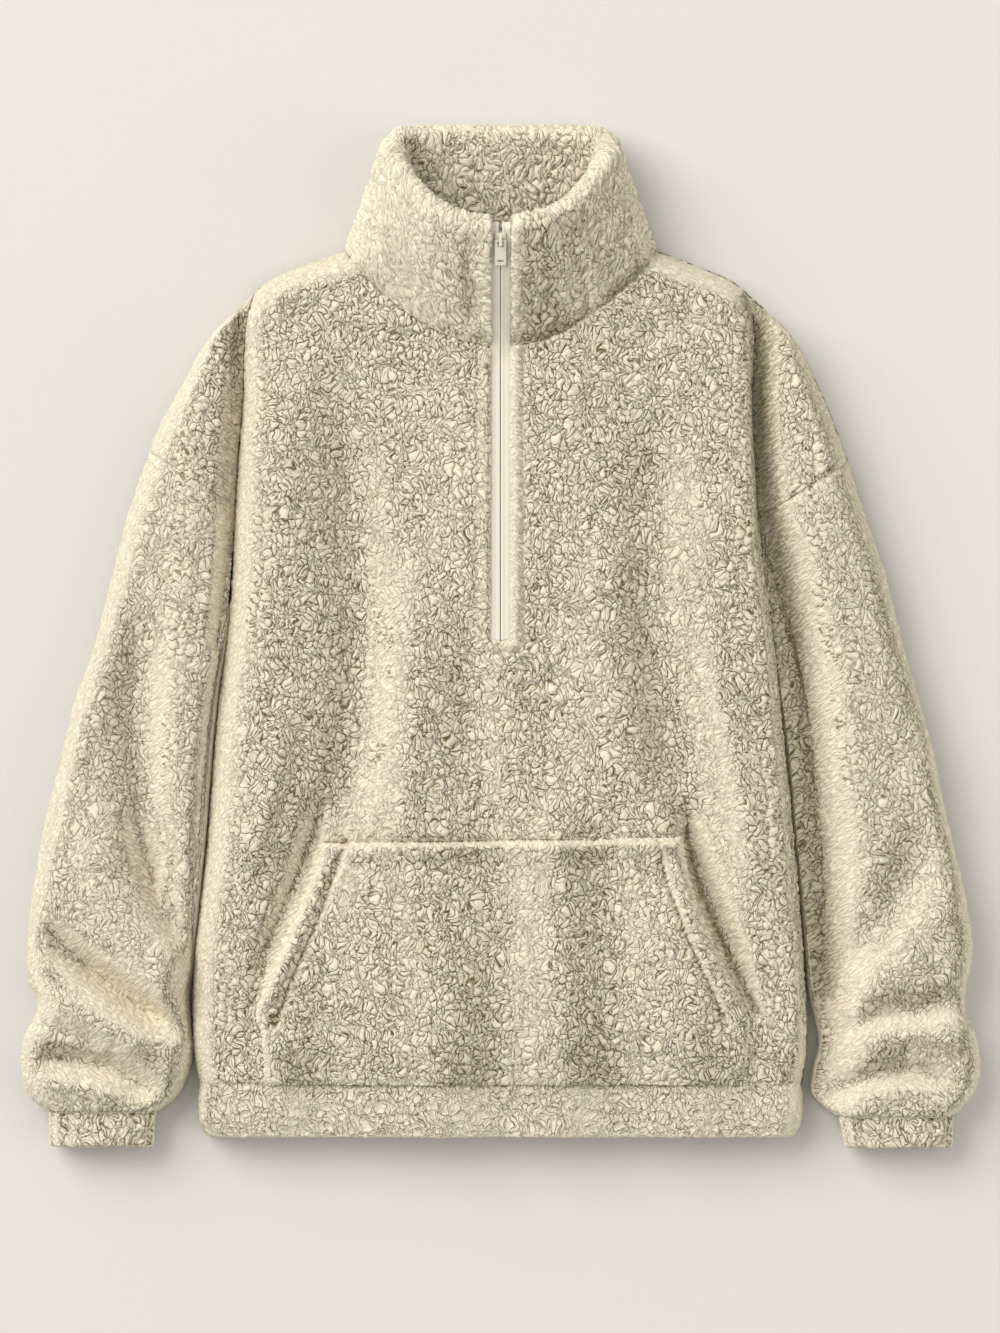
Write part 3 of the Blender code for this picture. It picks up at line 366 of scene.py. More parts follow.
FOOT_OVERLAP = 1.4              # reach of the collar's pile over the neck seam, and its lift there
FOOT_LIFT = 0.6
FOOT_SHADE = 8.0                # width of the painted shade along the collar's foot
RIM_PLUMP = 5.0                 # extra thickness of the rim over its solid's, for the long pile
RIM_TUFT = 13.0                 # reach of the rim's long tufts to either side of its edge
COLLAR_LIE = 0.68               # how far the collar's nap lies over
COLLAR_PILE = 1.35              # height of its pile against the body's
COLLAR_CURL = 1.25              # size of its curls against the body's
COLLAR_OPEN = (38, 26, 330)     # open pile on both sides of the zip: place, half width, highest Y
COLLAR_OPENS = {"left": 0.25, "right": 0.4}     # how much less the nap lies over there
COLLAR_BRUSHED = (19, 4)        # place and fade of the smooth edge to the right of the zip
COLLAR_INSIDE_LIE = 0.25
FOOT_DARK = (0.35, 0.5, 40)     # painted shade along the foot: on the left, added on the right, fade
COLLAR_CREASES = (
    (-8, 11, ((44, 322), (55, 300), (64, 268), (68, 232))),  # beside the zip right
    (2.5, 6, ((13, 345), (13, 300), (13, 260), (13, 220))),  # turned edge right
    (-4, 7, ((-24, 318), (-23, 290), (-21, 262), (-20, 236))),  # beside the zip left
    (3, 12, ((84, 330), (96, 300), (104, 268))),  # side right
    (3, 12, ((-84, 330), (-92, 300), (-98, 268))),  # side left
)

INSIDE = {                      # a point on the inner side of each piece
    "front": (0, -60, -300), "back": (0, -60, 300), "hem": (0, -330, 18),
    "pocket": (0, -250, -300), "collar": (0, 330, 20), "tape": (0, 150, -400),
    "coil": (0, 150, 40),
}

# Profiles of a border that is turned under: steps onwards and up.
TUCK = np.array([(0.0, 0.0), (0.5, -0.6), (1.0, -2.0), (1.0, -5.0)])
SKIRT = np.array([(0.0, 0.0), (0.8, -1.4), (1.6, -3.2), (2.2, -5.4), (2.6, -8.0), (2.8, -11.0)])

# ------------------------------------------------------ the pile and its colours

TUFT = (4.0, 6.6)               # across and along a tuft of the pile
CURL = (3.8, 5.4)               # across and along one curl in it
STRAND = 2.2                    # across one strand
WAVE_UNIT = math.tau / 20       # period of a wave texture at scale 1
WANDER = ((17.0, 7.0), (6.0, 2.4), (2.2, 0.8))      # sizes and reaches by which it wanders
CURLS = ("curls", 2.2, 0.4)     # height of the raised pile, and how far it starts below its face
PRESSED = ("pressed_curls", 1.5, 1.5)
LIE_FROM = 0.19                 # level share of the normal from which the nap lies over
LIE_FULL = 0.62                 # level share from which it lies quite flat
SHADED_WAY = (0.82, -0.57)            # way away from the window light; slopes that face it get painted shade
AWAY_FROM = 0.04                # slope that way at which the painted shade starts
AWAY_FULL = 0.50                # and at which it is full
AWAY_OPEN = 0.75                # share of the lying nap that is lost there, so that its partings add to the painted shade
AWAY_STEEP = 0.6                # level share from which an edge keeps it
AWAY_END = 0.42                 # slope that way from which the painted shade fades out again
AWAY_FADE = 0.3
LIT_LIE = 0.55                  # how far it lies over, so paler, on the gentle slopes that face the window light: painted light
LIT_FROM = 0.05
LIT_REACH = 0.22

# Colours of each finish: light and dark.
FLEECE = ((0.86, 0.78, 0.61, 1), (0.17, 0.12, 0.036, 1))
WEAVE = ((0.86, 0.81, 0.70, 1), (0.68, 0.62, 0.50, 1))
NYLON = ((0.80, 0.75, 0.63, 1), (0.66, 0.6, 0.48, 1))
ENAMEL = ((0.84, 0.79, 0.68, 1), (0.76, 0.7, 0.58, 1))
FLOOR = (0.71, 0.68, 0.65, 1)
SHEEN = (1.0, 0.93, 0.76, 1.0)

# ------------------------------------------------------ view, light and floor

PIXEL = 0.777 * MM              # real size of one picture element
VIEW_SIZE = (1000, 1333)
VIEW_CENTRE = (-0.5 * PIXEL, -28.5 * PIXEL, 0.03)
CAMERA_HEIGHT = 6.0
LIGHTS = (
    # name, place, size, power, colour
    ("window", (-6.0, 4.5, 5.6), 8.0, 975.0, (1.0, 0.985, 0.96)),
    ("bounce", (6.5, -1.0, 3.6), 7.0, 200.0, (1.0, 0.98, 0.95)),
)
ROOM = ((1.0, 0.99, 0.97, 1.0), 0.49)   # colour and strength of its light
FLOOR_SIZE = 8.0
FLOOR_Z = -0.0006


# ------------------------------------------------------------ small helpers

def spline(points, places):
    """Points of a smooth curve through the given ones, at places 0, 1, 2..."""
    knots = np.array(points, dtype=float)
    padded = np.concatenate([2 * knots[:1] - knots[1:2], knots, 2 * knots[-1:] - knots[-2:-1]])
    places = np.asarray(places, dtype=float)
    index = np.clip(places.astype(int), 0, len(knots) - 2)
    u = (places - index).reshape((-1,) + (1,) * (knots.ndim - 1))
    before, start, end, after = (padded[index + k] for k in range(4))
    return 0.5 * (2 * start + (end - before) * u
                  + (2 * before - 5 * start + 4 * end - after) * u ** 2
                  + (3 * start - before - 3 * end + after) * u ** 3)


def even_spline(points, steps):
    """The same curve with `steps` cells for each of its spans."""
    return spline(points, np.arange((len(points) - 1) * steps + 1) / steps)


def even_places(points, step):
    """Places on that curve about `step` apart, with one at each of its points."""
    curve = even_spline(points, 8)
    lengths = np.linalg.norm(np.diff(curve, axis=0), axis=1).reshape(-1, 8).sum(axis=1)
    places = []
    for index, length in enumerate(lengths):
        steps = cells(length, step)
        places.extend(index + np.arange(steps) / steps)
    return np.array(places + [len(lengths)], dtype=float)


def smooth(value):
    """Ease from 0 to 1."""
    value = np.clip(value, 0.0, 1.0)
    return value * value * (3 - 2 * value)


def unit(vectors):
    return vectors / np.linalg.norm(vectors, axis=-1, keepdims=True)


def named(columns, rows):
    """A table's columns by their names."""
    return dict(zip(columns, np.transpose(rows)))


def looked_up(table, place, **ends):
    """A table's second column at places in its first."""
    return np.interp(place, *np.transpose(table), **ends)


def ridge(distance, width):
    """A soft ridge of height 1."""
    return np.exp(-(distance / width) ** 2)


def nearest_on(line, x, y):
    """Distance from plan points to a line of (x, y), and the place along it."""
    start, span = line[:-1, :2], np.diff(line[:, :2], axis=0)
    across, up = x[..., None] - start[:, 0], y[..., None] - start[:, 1]
    reach = (across * span[:, 0] + up * span[:, 1]) / (span ** 2).sum(axis=1)
    reach = np.clip(reach, 0.0, 1.0)
    gap = np.hypot(across - reach * span[:, 0], up - reach * span[:, 1])
    nearest = gap.argmin(axis=-1)[..., None]
    distance = np.take_along_axis(gap, nearest, -1)[..., 0]
    return distance, (nearest + np.take_along_axis(reach, nearest, -1))[..., 0]


def fold_height(folds, x, y):
    """Sum of the ridges and troughs at the plan points x, y."""
    total = np.zeros(np.shape(x))
    for height, width, path in folds:
        line = even_spline(path, 5)
        reach = FOLD_REACH * width
        low, high = line.min(axis=0) - reach, line.max(axis=0) + reach
        near = (x > low[0]) & (x < high[0]) & (y > low[1]) & (y < high[1])
        distance, along = nearest_on(line, x[near], y[near])
        along = along / (len(line) - 1)
        fade = smooth(along / FOLD_FADE) * smooth((1 - along) / FOLD_FADE)
        total[near] += height * fade * ridge(distance, width)
    return total


def body_height(x, y):
    """Height of the front's face away from its edges."""
    crown = LOFT + CROWN_RISE * ridge(x, CROWN_SPREAD)
    crown = crown - HEM_DROP * smooth((HEM_DROP_FROM - y) / HEM_DROP_LENGTH)
    return crown + fold_height(BODY_FOLDS + BODY_CREASES, x, y)


def arm_height(side, x, y):
    """Height of a dropped shoulder and its sleeve away from their edges."""
    base = SLEEVE_LOFT - WRIST_DROP * smooth((WRIST_DROP_FROM - y) / WRIST_DROP_LENGTH)
    top = base + fold_height(ARM_FOLDS[side] + ARM_CREASES[side], x, y)
    rows = body_rows(np.linspace(GROOVE_ROWS[side], SHOULDER_ROW, 49))
    index = np.arange(len(rows["place"]))
    distance, place = nearest_on(outline(side, rows), x, y)
    bottom = np.interp(place, index, groove_floor(side, rows))
    reach = looked_up(GROOVE_REACH[side], np.interp(place, index, rows["place"]))
    _, sine = turn(distance, reach)
    hollow = GROOVE_HOLLOW[side]
    rise = sine * (1 - hollow) + smooth((distance - 2) / reach) * hollow
    return bottom + (top - bottom) * rise


def groove_floor(side, rows):
    """Height of the body's edge, which is the floor of the groove beside the sleeve."""
    place = rows["place"]
    share = smooth((place - ARMHOLE_ROW) / 1.5) * smooth((SHOULDER_ROW - place) / 1.5)
    return rows["edge_z"] - GROOVE_DEEPER[side] * share


def front_roll(side, rows):
    """Roll of the front's edges, tighter beside the sleeve."""
    share = smooth(rows["place"]) * smooth((SHOULDER_ROW - rows["place"]) / 2)
    return rows["roll"] * (1 + (EDGE_TIGHT[side] - 1) * share)


def turn(distance, roll):
    """Cosine and sine of the angle around a rolled edge."""
    cosine = np.clip(1 - distance / roll, 0.0, 1.0)
    return cosine, np.sqrt(1 - cosine ** 2)


def around_edge(roll, steps):
    """Distances from an edge for even steps around its roll, one row for each roll."""
    angles = np.linspace(0.0, math.pi / 2, steps + 1)
    return np.asarray(roll, dtype=float)[:, None] * (1 - np.cos(angles))


def between(start, end, steps):
    """Even steps from one column of values to another, without the first."""
    shares = np.linspace(0.0, 1.0, steps + 1)[1:]
    return start[:, None] + (end - start)[:, None] * shares


def cells(length, step):
    return max(1, round(float(np.mean(length)) / step))


def steps_in(roll, length, step, edge_step):
    """Distances from a rolled edge: even steps around its roll, then on to `length`."""
    near = around_edge(roll, cells(roll * math.pi / 2, edge_step))
    return np.concatenate([near, between(roll, length, cells(length - roll, step))], axis=-1)


def spread(start, span, share):
    """Plan points at some shares of each row's span."""
    return start[:, None] + span[:, None] * share[..., None]


def laid_out(plan, z, outward, drop):
    """Points of a face, and their plan with its turned-down edges laid out flat."""
    return np.concatenate([plan, z[..., None]], axis=-1), plan + outward * drop[..., None]


def walked(points):
    """Distance walked along a row of points."""
    steps = np.linalg.norm(np.diff(points, axis=0), axis=-1)
    return np.concatenate([[0.0], np.cumsum(steps)])


# ------------------------------------------------------------ body surfaces

def body_rows(places):
    """The row table at some places: smooth outlines, straight edge settings."""
    rows = named(ROW_COLUMNS, spline(BODY_ROWS, places))
    knots = named(ROW_COLUMNS, BODY_ROWS)
    for name in EDGE_SETTINGS:
        rows[name] = np.interp(places, np.arange(len(BODY_ROWS)), knots[name])
    rows["place"] = places
    return rows


def outline(side, rows, outward=0.0):
    """Plan of the body's edge, or of a line that far outside it."""
    return np.stack([rows[side + "_x"] + SIGN[side] * outward, rows[side + "_y"]], axis=-1)


def beside_arm(rows):
    """Which body rows have the dropped shoulder beside them."""
    return (rows["place"] >= ARMHOLE_ROW) & (rows["place"] <= SHOULDER_ROW)


def row_span(side, rows, face):
    """Each body row's edge point, its span to the middle, and its length."""
    edge = outline(side, rows)
    middle = np.stack([np.zeros(len(edge)), rows[face + "_y"]], axis=-1)
    return edge, middle - edge, np.linalg.norm(middle - edge, axis=-1)


def front_face(side, rows, distance):
    """Face of half the front, at distances from its edge."""
    _, sine = turn(distance, front_roll(side, rows)[:, None])
    edge, span, length = row_span(side, rows, "front")
    share = distance / length[:, None]
    plan = spread(edge, span, share)
    neck = smooth((rows["place"] - NECK_DIP_ROW) / (NECK_ROW - NECK_DIP_ROW))[:, None]
    plan[..., 1] -= NECK_DIP * neck * 4 * share * (1 - share)
    edge_z = groove_floor(side, rows)[:, None]
    x, y = plan[..., 0], plan[..., 1]
    top = body_height(x, y) + zip_edge(x, y)
    z = edge_z + (top - edge_z) * sine
    return laid_out(plan, z, -unit(span)[:, None], top - z)


def back_face(side, rows, distance):
    """The same for the back, which lies flat and turns up at its edges."""
    _, sine = turn(distance, rows["roll"][:, None])
    edge, span, length = row_span(side, rows, "back")
    z = ((rows["edge_z"] - SEAM) * rows["rim"])[:, None] * (1 - sine)
    return laid_out(spread(edge, span, distance / length[:, None]), z, -unit(span)[:, None], z)


def wing(side, rows, body_edge, over, step):
    """The dropped shoulder, from the body's edge points out to the shoulder."""
    inside = beside_arm(rows)
    shoulder = spline(SHOULDER_EDGE[side], rows["place"][inside] - ARMHOLE_ROW)
    span = outline(side, rows)[inside] - shoulder
    length = np.linalg.norm(span, axis=-1)
    distance = steps_in(np.full(len(length), SHOULDER_ROLL), length, step, step)
    plan = spread(shoulder, span, distance / length[:, None])
    _, sine = turn(distance, SHOULDER_ROLL)
    _, top_sine = turn(np.linalg.norm(plan - plan[-1], axis=-1), SHOULDER_ROLL)
    if over:
        top = arm_height(side, plan[..., 0], plan[..., 1])
        z = SIDE_SEAM + (top - SIDE_SEAM) * sine * top_sine
        drop = top - z
    else:
        z = (SIDE_SEAM - SEAM) * (1 - sine * top_sine)
        drop = z
    grid, place = laid_out(plan, z, -unit(span)[:, None], drop)
    grid[:, -1] = body_edge[inside]
    return grid, place


def from_slit(x, y):
    """Distance from the slit between the piles of the front's two halves."""
    return np.hypot(np.maximum(np.abs(x) - FLEECE_SLIT, 0), np.maximum(ZIP_FOOT - y, 0))


def zip_edge(x, y):
    """The turned and stitched edge of the fleece beside the slit of the zip."""
    distance = from_slit(x, y)
    rise, place, width = ZIP_EDGE
    depth, stitch_width = STITCH_DENT
    stitches = depth * ridge(distance - ZIP_EDGE_STITCH, stitch_width)
    turned_in = ZIP_EDGE_TURN * (1 - smooth(distance / ZIP_EDGE_TURN))
    return rise * ridge(distance - place, width) - stitches - turned_in


def armhole_line(side):
    """Plan of the armhole seam: from the shoulder down the front, then to the underarm."""
    rows = body_rows(np.linspace(ARMHOLE_ROW, ARMHOLE_ROW - 1.5, 7))
    down = outline(side, rows, 2 * SEAM)
    shoulder = np.array(SHOULDER_EDGE[side][0], dtype=float)
    way = unit(down[0] - shoulder)
    away = np.array([way[1], -way[0]]) * -SIGN[side]
    seam = np.linspace(shoulder, down[0], 7) + away * 2 * SEAM
    return seam[:-1], down


def armhole_seam(side):
    """The stitches of that seam that show."""
    seam, down = armhole_line(side)
    return np.vstack([seam, down[:1]]), SEAM_DENT


def neck_line(side):
    """Plan of the front neck seam."""
    rows = body_rows(np.array([float(NECK_ROW)]))
    length = row_span(side, rows, "front")[2]
    return front_face(side, rows, np.linspace(0, length, 24).T)[0][0, :, :2]


def press_seams(points, seams):
    """Presses lines of stitches and of painted shade into a grid; returns how near each point is to
    one.
    """
    seam_and_shade = np.zeros(points.shape[:2])
    for line, (depth, width) in seams:
        line = np.asarray(line, dtype=float)
        distance, _ = nearest_on(line, points[..., 0], points[..., 1])
        press = ridge(distance, width)
        points[..., 2] -= depth * press
        seam_and_shade = np.maximum(seam_and_shade, press ** 3 * min(depth / SEWN_FULL, 1.0))
    return seam_and_shade


# ------------------------------------------------------- node trees by script

def operator(operation, swapped=False):
    """A Python operator on a value that adds a Math node."""
    def apply(self, other):
        return self.nodes.math(operation, *((other, self) if swapped else (self, other)))
    return apply


class Value:
    """A socket in a node tree: Python's operators on a number add Math nodes."""

    def __init__(self, nodes, socket):
        self.nodes = nodes
        self.socket = socket

    def __abs__(self):
        return self.nodes.math("ABSOLUTE", self)

    __add__ = operator("ADD")
    __radd__ = operator("ADD", swapped=True)
    __sub__ = operator("SUBTRACT")
    __rsub__ = operator("SUBTRACT", swapped=True)
    __mul__ = operator("MULTIPLY")
    __rmul__ = operator("MULTIPLY", swapped=True)
    __truediv__ = operator("DIVIDE")


class Nodes:
    """A node tree that is filled from Python."""

    def __init__(self, tree):
        self.tree = tree
        tree.nodes.clear()

    def add(self, kind, settings=None, inputs=None, output=0):
        """A new node: its settings first, then the values or links of its sockets."""
        node = self.tree.nodes.new(kind)
        for name, value in (settings or {}).items():
            setattr(node, name, value)
        for key, value in (inputs or {}).items():
            if isinstance(value, Value):
                self.tree.links.new(value.socket, node.inputs[key])
            else:
                node.inputs[key].default_value = value
        return Value(self, node.outputs[output]) if len(node.outputs) else None

    def math(self, operation, *values):
        return self.add("ShaderNodeMath", {"operation": operation}, dict(enumerate(values)))

    def vector(self, operation, first, second):
        return self.add("ShaderNodeVectorMath", {"operation": operation}, {0: first, 1: second})

    def scaled(self, vector, factor):
        return self.add("ShaderNodeVectorMath", {"operation": "SCALE"},
                        {0: vector, "Scale": factor})

    def ease(self, value, low, high, start=0.0, end=1.0):
        """Eases from start to end while a value goes from low to high."""
        return self.add("ShaderNodeMapRange", {"interpolation_type": "SMOOTHSTEP"},
                        {"Value": value, "From Min": low, "From Max": high,
                         "To Min": start, "To Max": end}, "Result")

    def blend(self, factor, first, second):
        """Mixes two colours."""
        return self.add("ShaderNodeMix", {"data_type": "RGBA"},
                        {0: factor, 6: first, 7: second}, 2)

    def noise(self, place, size, detail=0.0, swirl=0.0, output=0):
        """Smooth noise from 0 to 1, with features of about `size` millimetres."""
        return self.add("ShaderNodeTexNoise", {"noise_dimensions": "2D"},
                        {"Vector": place, "Scale": 1 / size, "Detail": detail,
                         "Distortion": swirl}, output)

    def rotated(self, place, angle):
        return self.add("ShaderNodeVectorRotate", {"rotation_type": "Z_AXIS"},
                        {"Vector": place, "Angle": angle})

    def turned(self, place, degrees, across, along):
        """A place in a turned frame, in units of `across` and `along` millimetres."""
        return self.vector("MULTIPLY", self.rotated(place, -math.radians(degrees)),
                           (1 / across, 1 / along, 1.0))

    def drift(self, place, size, reach):
        """Moves a place about by noise, up to `reach` either way."""
        colour = self.noise(place, size, 1.0, output="Color")
        centred = self.vector("SUBTRACT", colour, (0.5, 0.5, 0.5))
        return self.vector("ADD", place, self.scaled(centred, 2 * reach))

    def part(self, vector, axis):
        return self.add("ShaderNodeSeparateXYZ", {}, {"Vector": vector}, axis)

    def patches(self, place, feature, output):
        """Cells one unit wide: the distance from their borders, or one colour for each."""
        return self.add("ShaderNodeTexVoronoi",
                        {"feature": feature, "voronoi_dimensions": "2D"},
                        {"Vector": place, "Scale": 1.0}, output)

    def stripes(self, place, way, inputs):
        return self.add("ShaderNodeTexWave", {"bands_direction": way},
                        {"Vector": place, **inputs}, "Fac")

    def attribute(self, name, output="Vector"):
        return self.add("ShaderNodeAttribute", {"attribute_name": name}, {}, output)

    def bump(self, height, distance, strength=1.0, invert=False):
        """Relief of that many millimetres."""
        return self.add("ShaderNodeBump", {"invert": invert},
                        {"Strength": strength, "Distance": distance * MM, "Height": height},
                        "Normal")

    def finish(self, inputs):
        """Ends a material's tree with a Principled shader."""
        shader = self.add("ShaderNodeBsdfPrincipled", {}, inputs, "BSDF")
        self.add("ShaderNodeOutputMaterial", {}, {"Surface": shader})


def new_finish(name):
    """A new material, and its node tree."""
    made = bpy.data.materials.new(name)
    made.use_nodes = True
    return made, Nodes(made.node_tree)


# ------------------------------------------------------- pile and finishes

def wandered(nodes, place):
    """Place in the pile, drawn about so that nothing in it runs straight."""
    for size, reach in WANDER:
        place = nodes.drift(place, size, reach)
    return place


def curls(nodes, wandering):
    """Distances from the partings between tufts and between curls, 0 in a parting."""
    tuft = nodes.patches(nodes.turned(wandering, 0.0, *TUFT), "DISTANCE_TO_EDGE", "Distance")
    curl = abs(nodes.noise(nodes.turned(wandering, 24.0, *CURL), 1.0, 1.0, 1.0) - 0.5)
    return tuft, curl


def strands(nodes, wandering):
    """Bent strands, which lean another way in each tuft; 0 between two strands."""
    tuft = nodes.patches(nodes.turned(wandering, 0.0, *TUFT), "F1", "Color")
    turned = nodes.rotated(wandering, nodes.part(tuft, "X") * 1.6 - 0.8)
    return nodes.stripes(turned, "X", {"Scale": WAVE_UNIT / STRAND, "Distortion": 5.0,
                                       "Detail": 1.0, "Detail Scale": STRAND / WAVE_UNIT / 4.5})


def knobs(nodes, braid, place):
    """Two rows of knobs: their height, the lines between them, and how much they show."""
    along, across, strength = (nodes.part(braid, axis) for axis in ("X", "Y", "Z"))
    uneven = nodes.noise(place, 5.5, 1.0) - 0.5
    across = across + uneven * 7.0
    off = abs(across)
    turns = along / KNOB + nodes.math("SIGN", across) * 0.22 + uneven * 1.7 + off * LEAF_SLANT
    wave = nodes.math("COSINE", turns * math.tau) * 0.5 + 0.5
    shown = strength * (1 - nodes.ease(off, KNOB_ROW * 0.6, KNOB_ROW))
    shown = shown * nodes.ease(nodes.noise(place, 20.0, 0.0), 0.38, 0.6, 0.0, 0.8)
    height = nodes.ease(off, 0.0, KNOB_ROW * 0.35) * (0.35 + wave * 0.65)
    line = nodes.math("MAXIMUM", (1 - nodes.ease(off, 0.0, 1.2)) * 0.5,
                      (1 - nodes.ease(wave, 0.0, 0.2)) * 0.8)
    return height, line, shown


def pile_shape(name, lift, sink):
    """A geometry node tree that raises a mesh into curls along its normals."""
    tree = bpy.data.node_groups.new(name, "GeometryNodeTree")
    nodes = Nodes(tree)
    for way in ("INPUT", "OUTPUT"):
        tree.interface.new_socket("Geometry", in_out=way, socket_type="NodeSocketGeometry")
    cloth = nodes.add("NodeGroupInput")

    def stored(title, kind):
        return nodes.add("GeometryNodeInputNamedAttribute", {"data_type": kind},
                         {"Name": title}, "Attribute")

    place = stored("pile", "FLOAT_VECTOR")
    tuft, curl = curls(nodes, wandered(nodes, place))
    dome = nodes.ease(tuft, 0.0, 0.32) * 0.55 + nodes.ease(curl, 0.0, 0.13) * 0.4
    dome = dome * (1 - stored("lie", "FLOAT") * 0.35)
    height, _, shown = knobs(nodes, stored("braid", "FLOAT_VECTOR"), place)
    raised = dome * (1 - shown) + (height * 1.3 - 0.05) * shown
    rolling = nodes.noise(place, 13.0, 1.0) * 0.5 - 0.25
    height = (raised + rolling) * lift - sink
    normal = nodes.add("GeometryNodeInputNormal", {}, {}, "Normal")
    offset = nodes.scaled(normal, height * stored("loft", "FLOAT") * MM)
    moved = nodes.add("GeometryNodeSetPosition", {}, {"Geometry": cloth, "Offset": offset})
    nodes.add("NodeGroupOutput", {}, {"Geometry": moved})
    return tree


def nap(nodes, place, lean):
    """Fine strokes of the fibres, turned with the slope that they lie on."""
    left, right = (nodes.noise(nodes.turned(place, degrees, 1.5, 6.0), 1.0, 1.0)
                   for degrees in (-54.0, 54.0))
    return nodes.add("ShaderNodeMix", {"data_type": "FLOAT"},
                     {0: nodes.ease(lean, -0.5, 0.5), 2: left, 3: right})


def pile_finish(name, tip, root):
    """Curly fleece: pale tips, thin darker partings, fine strokes where it lies over."""
    made, nodes = new_finish(name)
    place = nodes.attribute("pile")
    lie, lean, seam_and_shade, away = (nodes.attribute(title, "Fac")
                             for title in ("lie", "lean", "seam_and_shade", "away"))
    wandering = wandered(nodes, place)
    tuft, curl = curls(nodes, wandering)
    stroke = nodes.ease(nap(nodes, place, lean), 0.46, 0.58)
    patchy = nodes.ease(nodes.noise(place, 9.0, 1.0), 0.32, 0.68, 0.55, 1.05)
    # The partings between tufts, curls and knobs darken the colour towards the root: partly the
    # roots' own colour, partly painted shade in those crevices. Open pile is darker overall than
    # pile that lies over.
    open_pile = (1 - lie) * 0.85 + 0.15
    parting = (1 - nodes.ease(tuft, 0.0, 0.12)) * patchy * open_pile
    crease = (1 - nodes.ease(curl, 0.0, 0.045)) * (1.4 - patchy) * open_pile
    between_strands = (1 - nodes.ease(strands(nodes, wandering), 0.0, 0.42)) * open_pile
    _, line, shown = knobs(nodes, nodes.attribute("braid"), place)
    groove = (parting * 0.86 + crease) * (1 - shown) + line * shown
    shadow = groove * 0.98 + (1 - lie) * 0.13 + between_strands * 0.05 + stroke * (lie * 0.24 + 0.04)
    # Darker along seams; painted shade along the pressed lines in the grooves, beside the hand
    # openings and at the collar's foot, and on slopes that face away from the window light.
    shadow = shadow + seam_and_shade * 0.45 + away * 0.30
    relief = groove + between_strands * 0.16 + stroke * (lie * 0.5 + 0.1)
    nodes.finish({"Base Color": nodes.blend(nodes.ease(shadow, 0.0, 1.2), tip, root),
                  "Roughness": 0.95, "Normal": nodes.bump(relief, 1.05, invert=True),
                  "Specular IOR Level": 0.15, "Sheen Weight": 0.25, "Sheen Roughness": 0.5,
                  "Sheen Tint": SHEEN})
    return made


def tape_finish():
    """Smooth woven zip tape with a fine herringbone."""
    made, nodes = new_finish("cream_tape")
    place = nodes.attribute("pile")
    warp = nodes.stripes(place, "X", {"Scale": 0.35, "Distortion": 0.4})
    weft = nodes.stripes(place, "Y", {"Scale": 0.4, "Distortion": 0.4})
    weave = warp * 0.5 + weft * 0.5
    colour = nodes.blend(nodes.ease(weave, 0.1, 0.8), *WEAVE[::-1])
    nodes.finish({"Base Color": colour, "Roughness": 0.7, "Sheen Weight": 0.15,
                  "Normal": nodes.bump(weave, 0.3, 0.35)})
    return made


def hard_finish(name, colour, dark, roughness):
    """Enamel or nylon with faint wear."""
    made, nodes = new_finish(name)
    place = nodes.add("ShaderNodeTexCoord", {}, {}, "Object")
    cloud = nodes.noise(place, 900.0, 2.0)
    grain = nodes.noise(place, 4000.0, 1.0)
    nodes.finish({"Base Color": nodes.blend(nodes.ease(cloud, 0.3, 0.7), dark, colour),
                  "Roughness": nodes.ease(cloud, 0.2, 0.8, roughness + 0.1, roughness),
                  "Normal": nodes.bump(grain, 0.1, 0.1), "Coat Weight": 0.3,
                  "Coat Roughness": 0.25})
    return made


# ------------------------------------------------------------ mesh builders

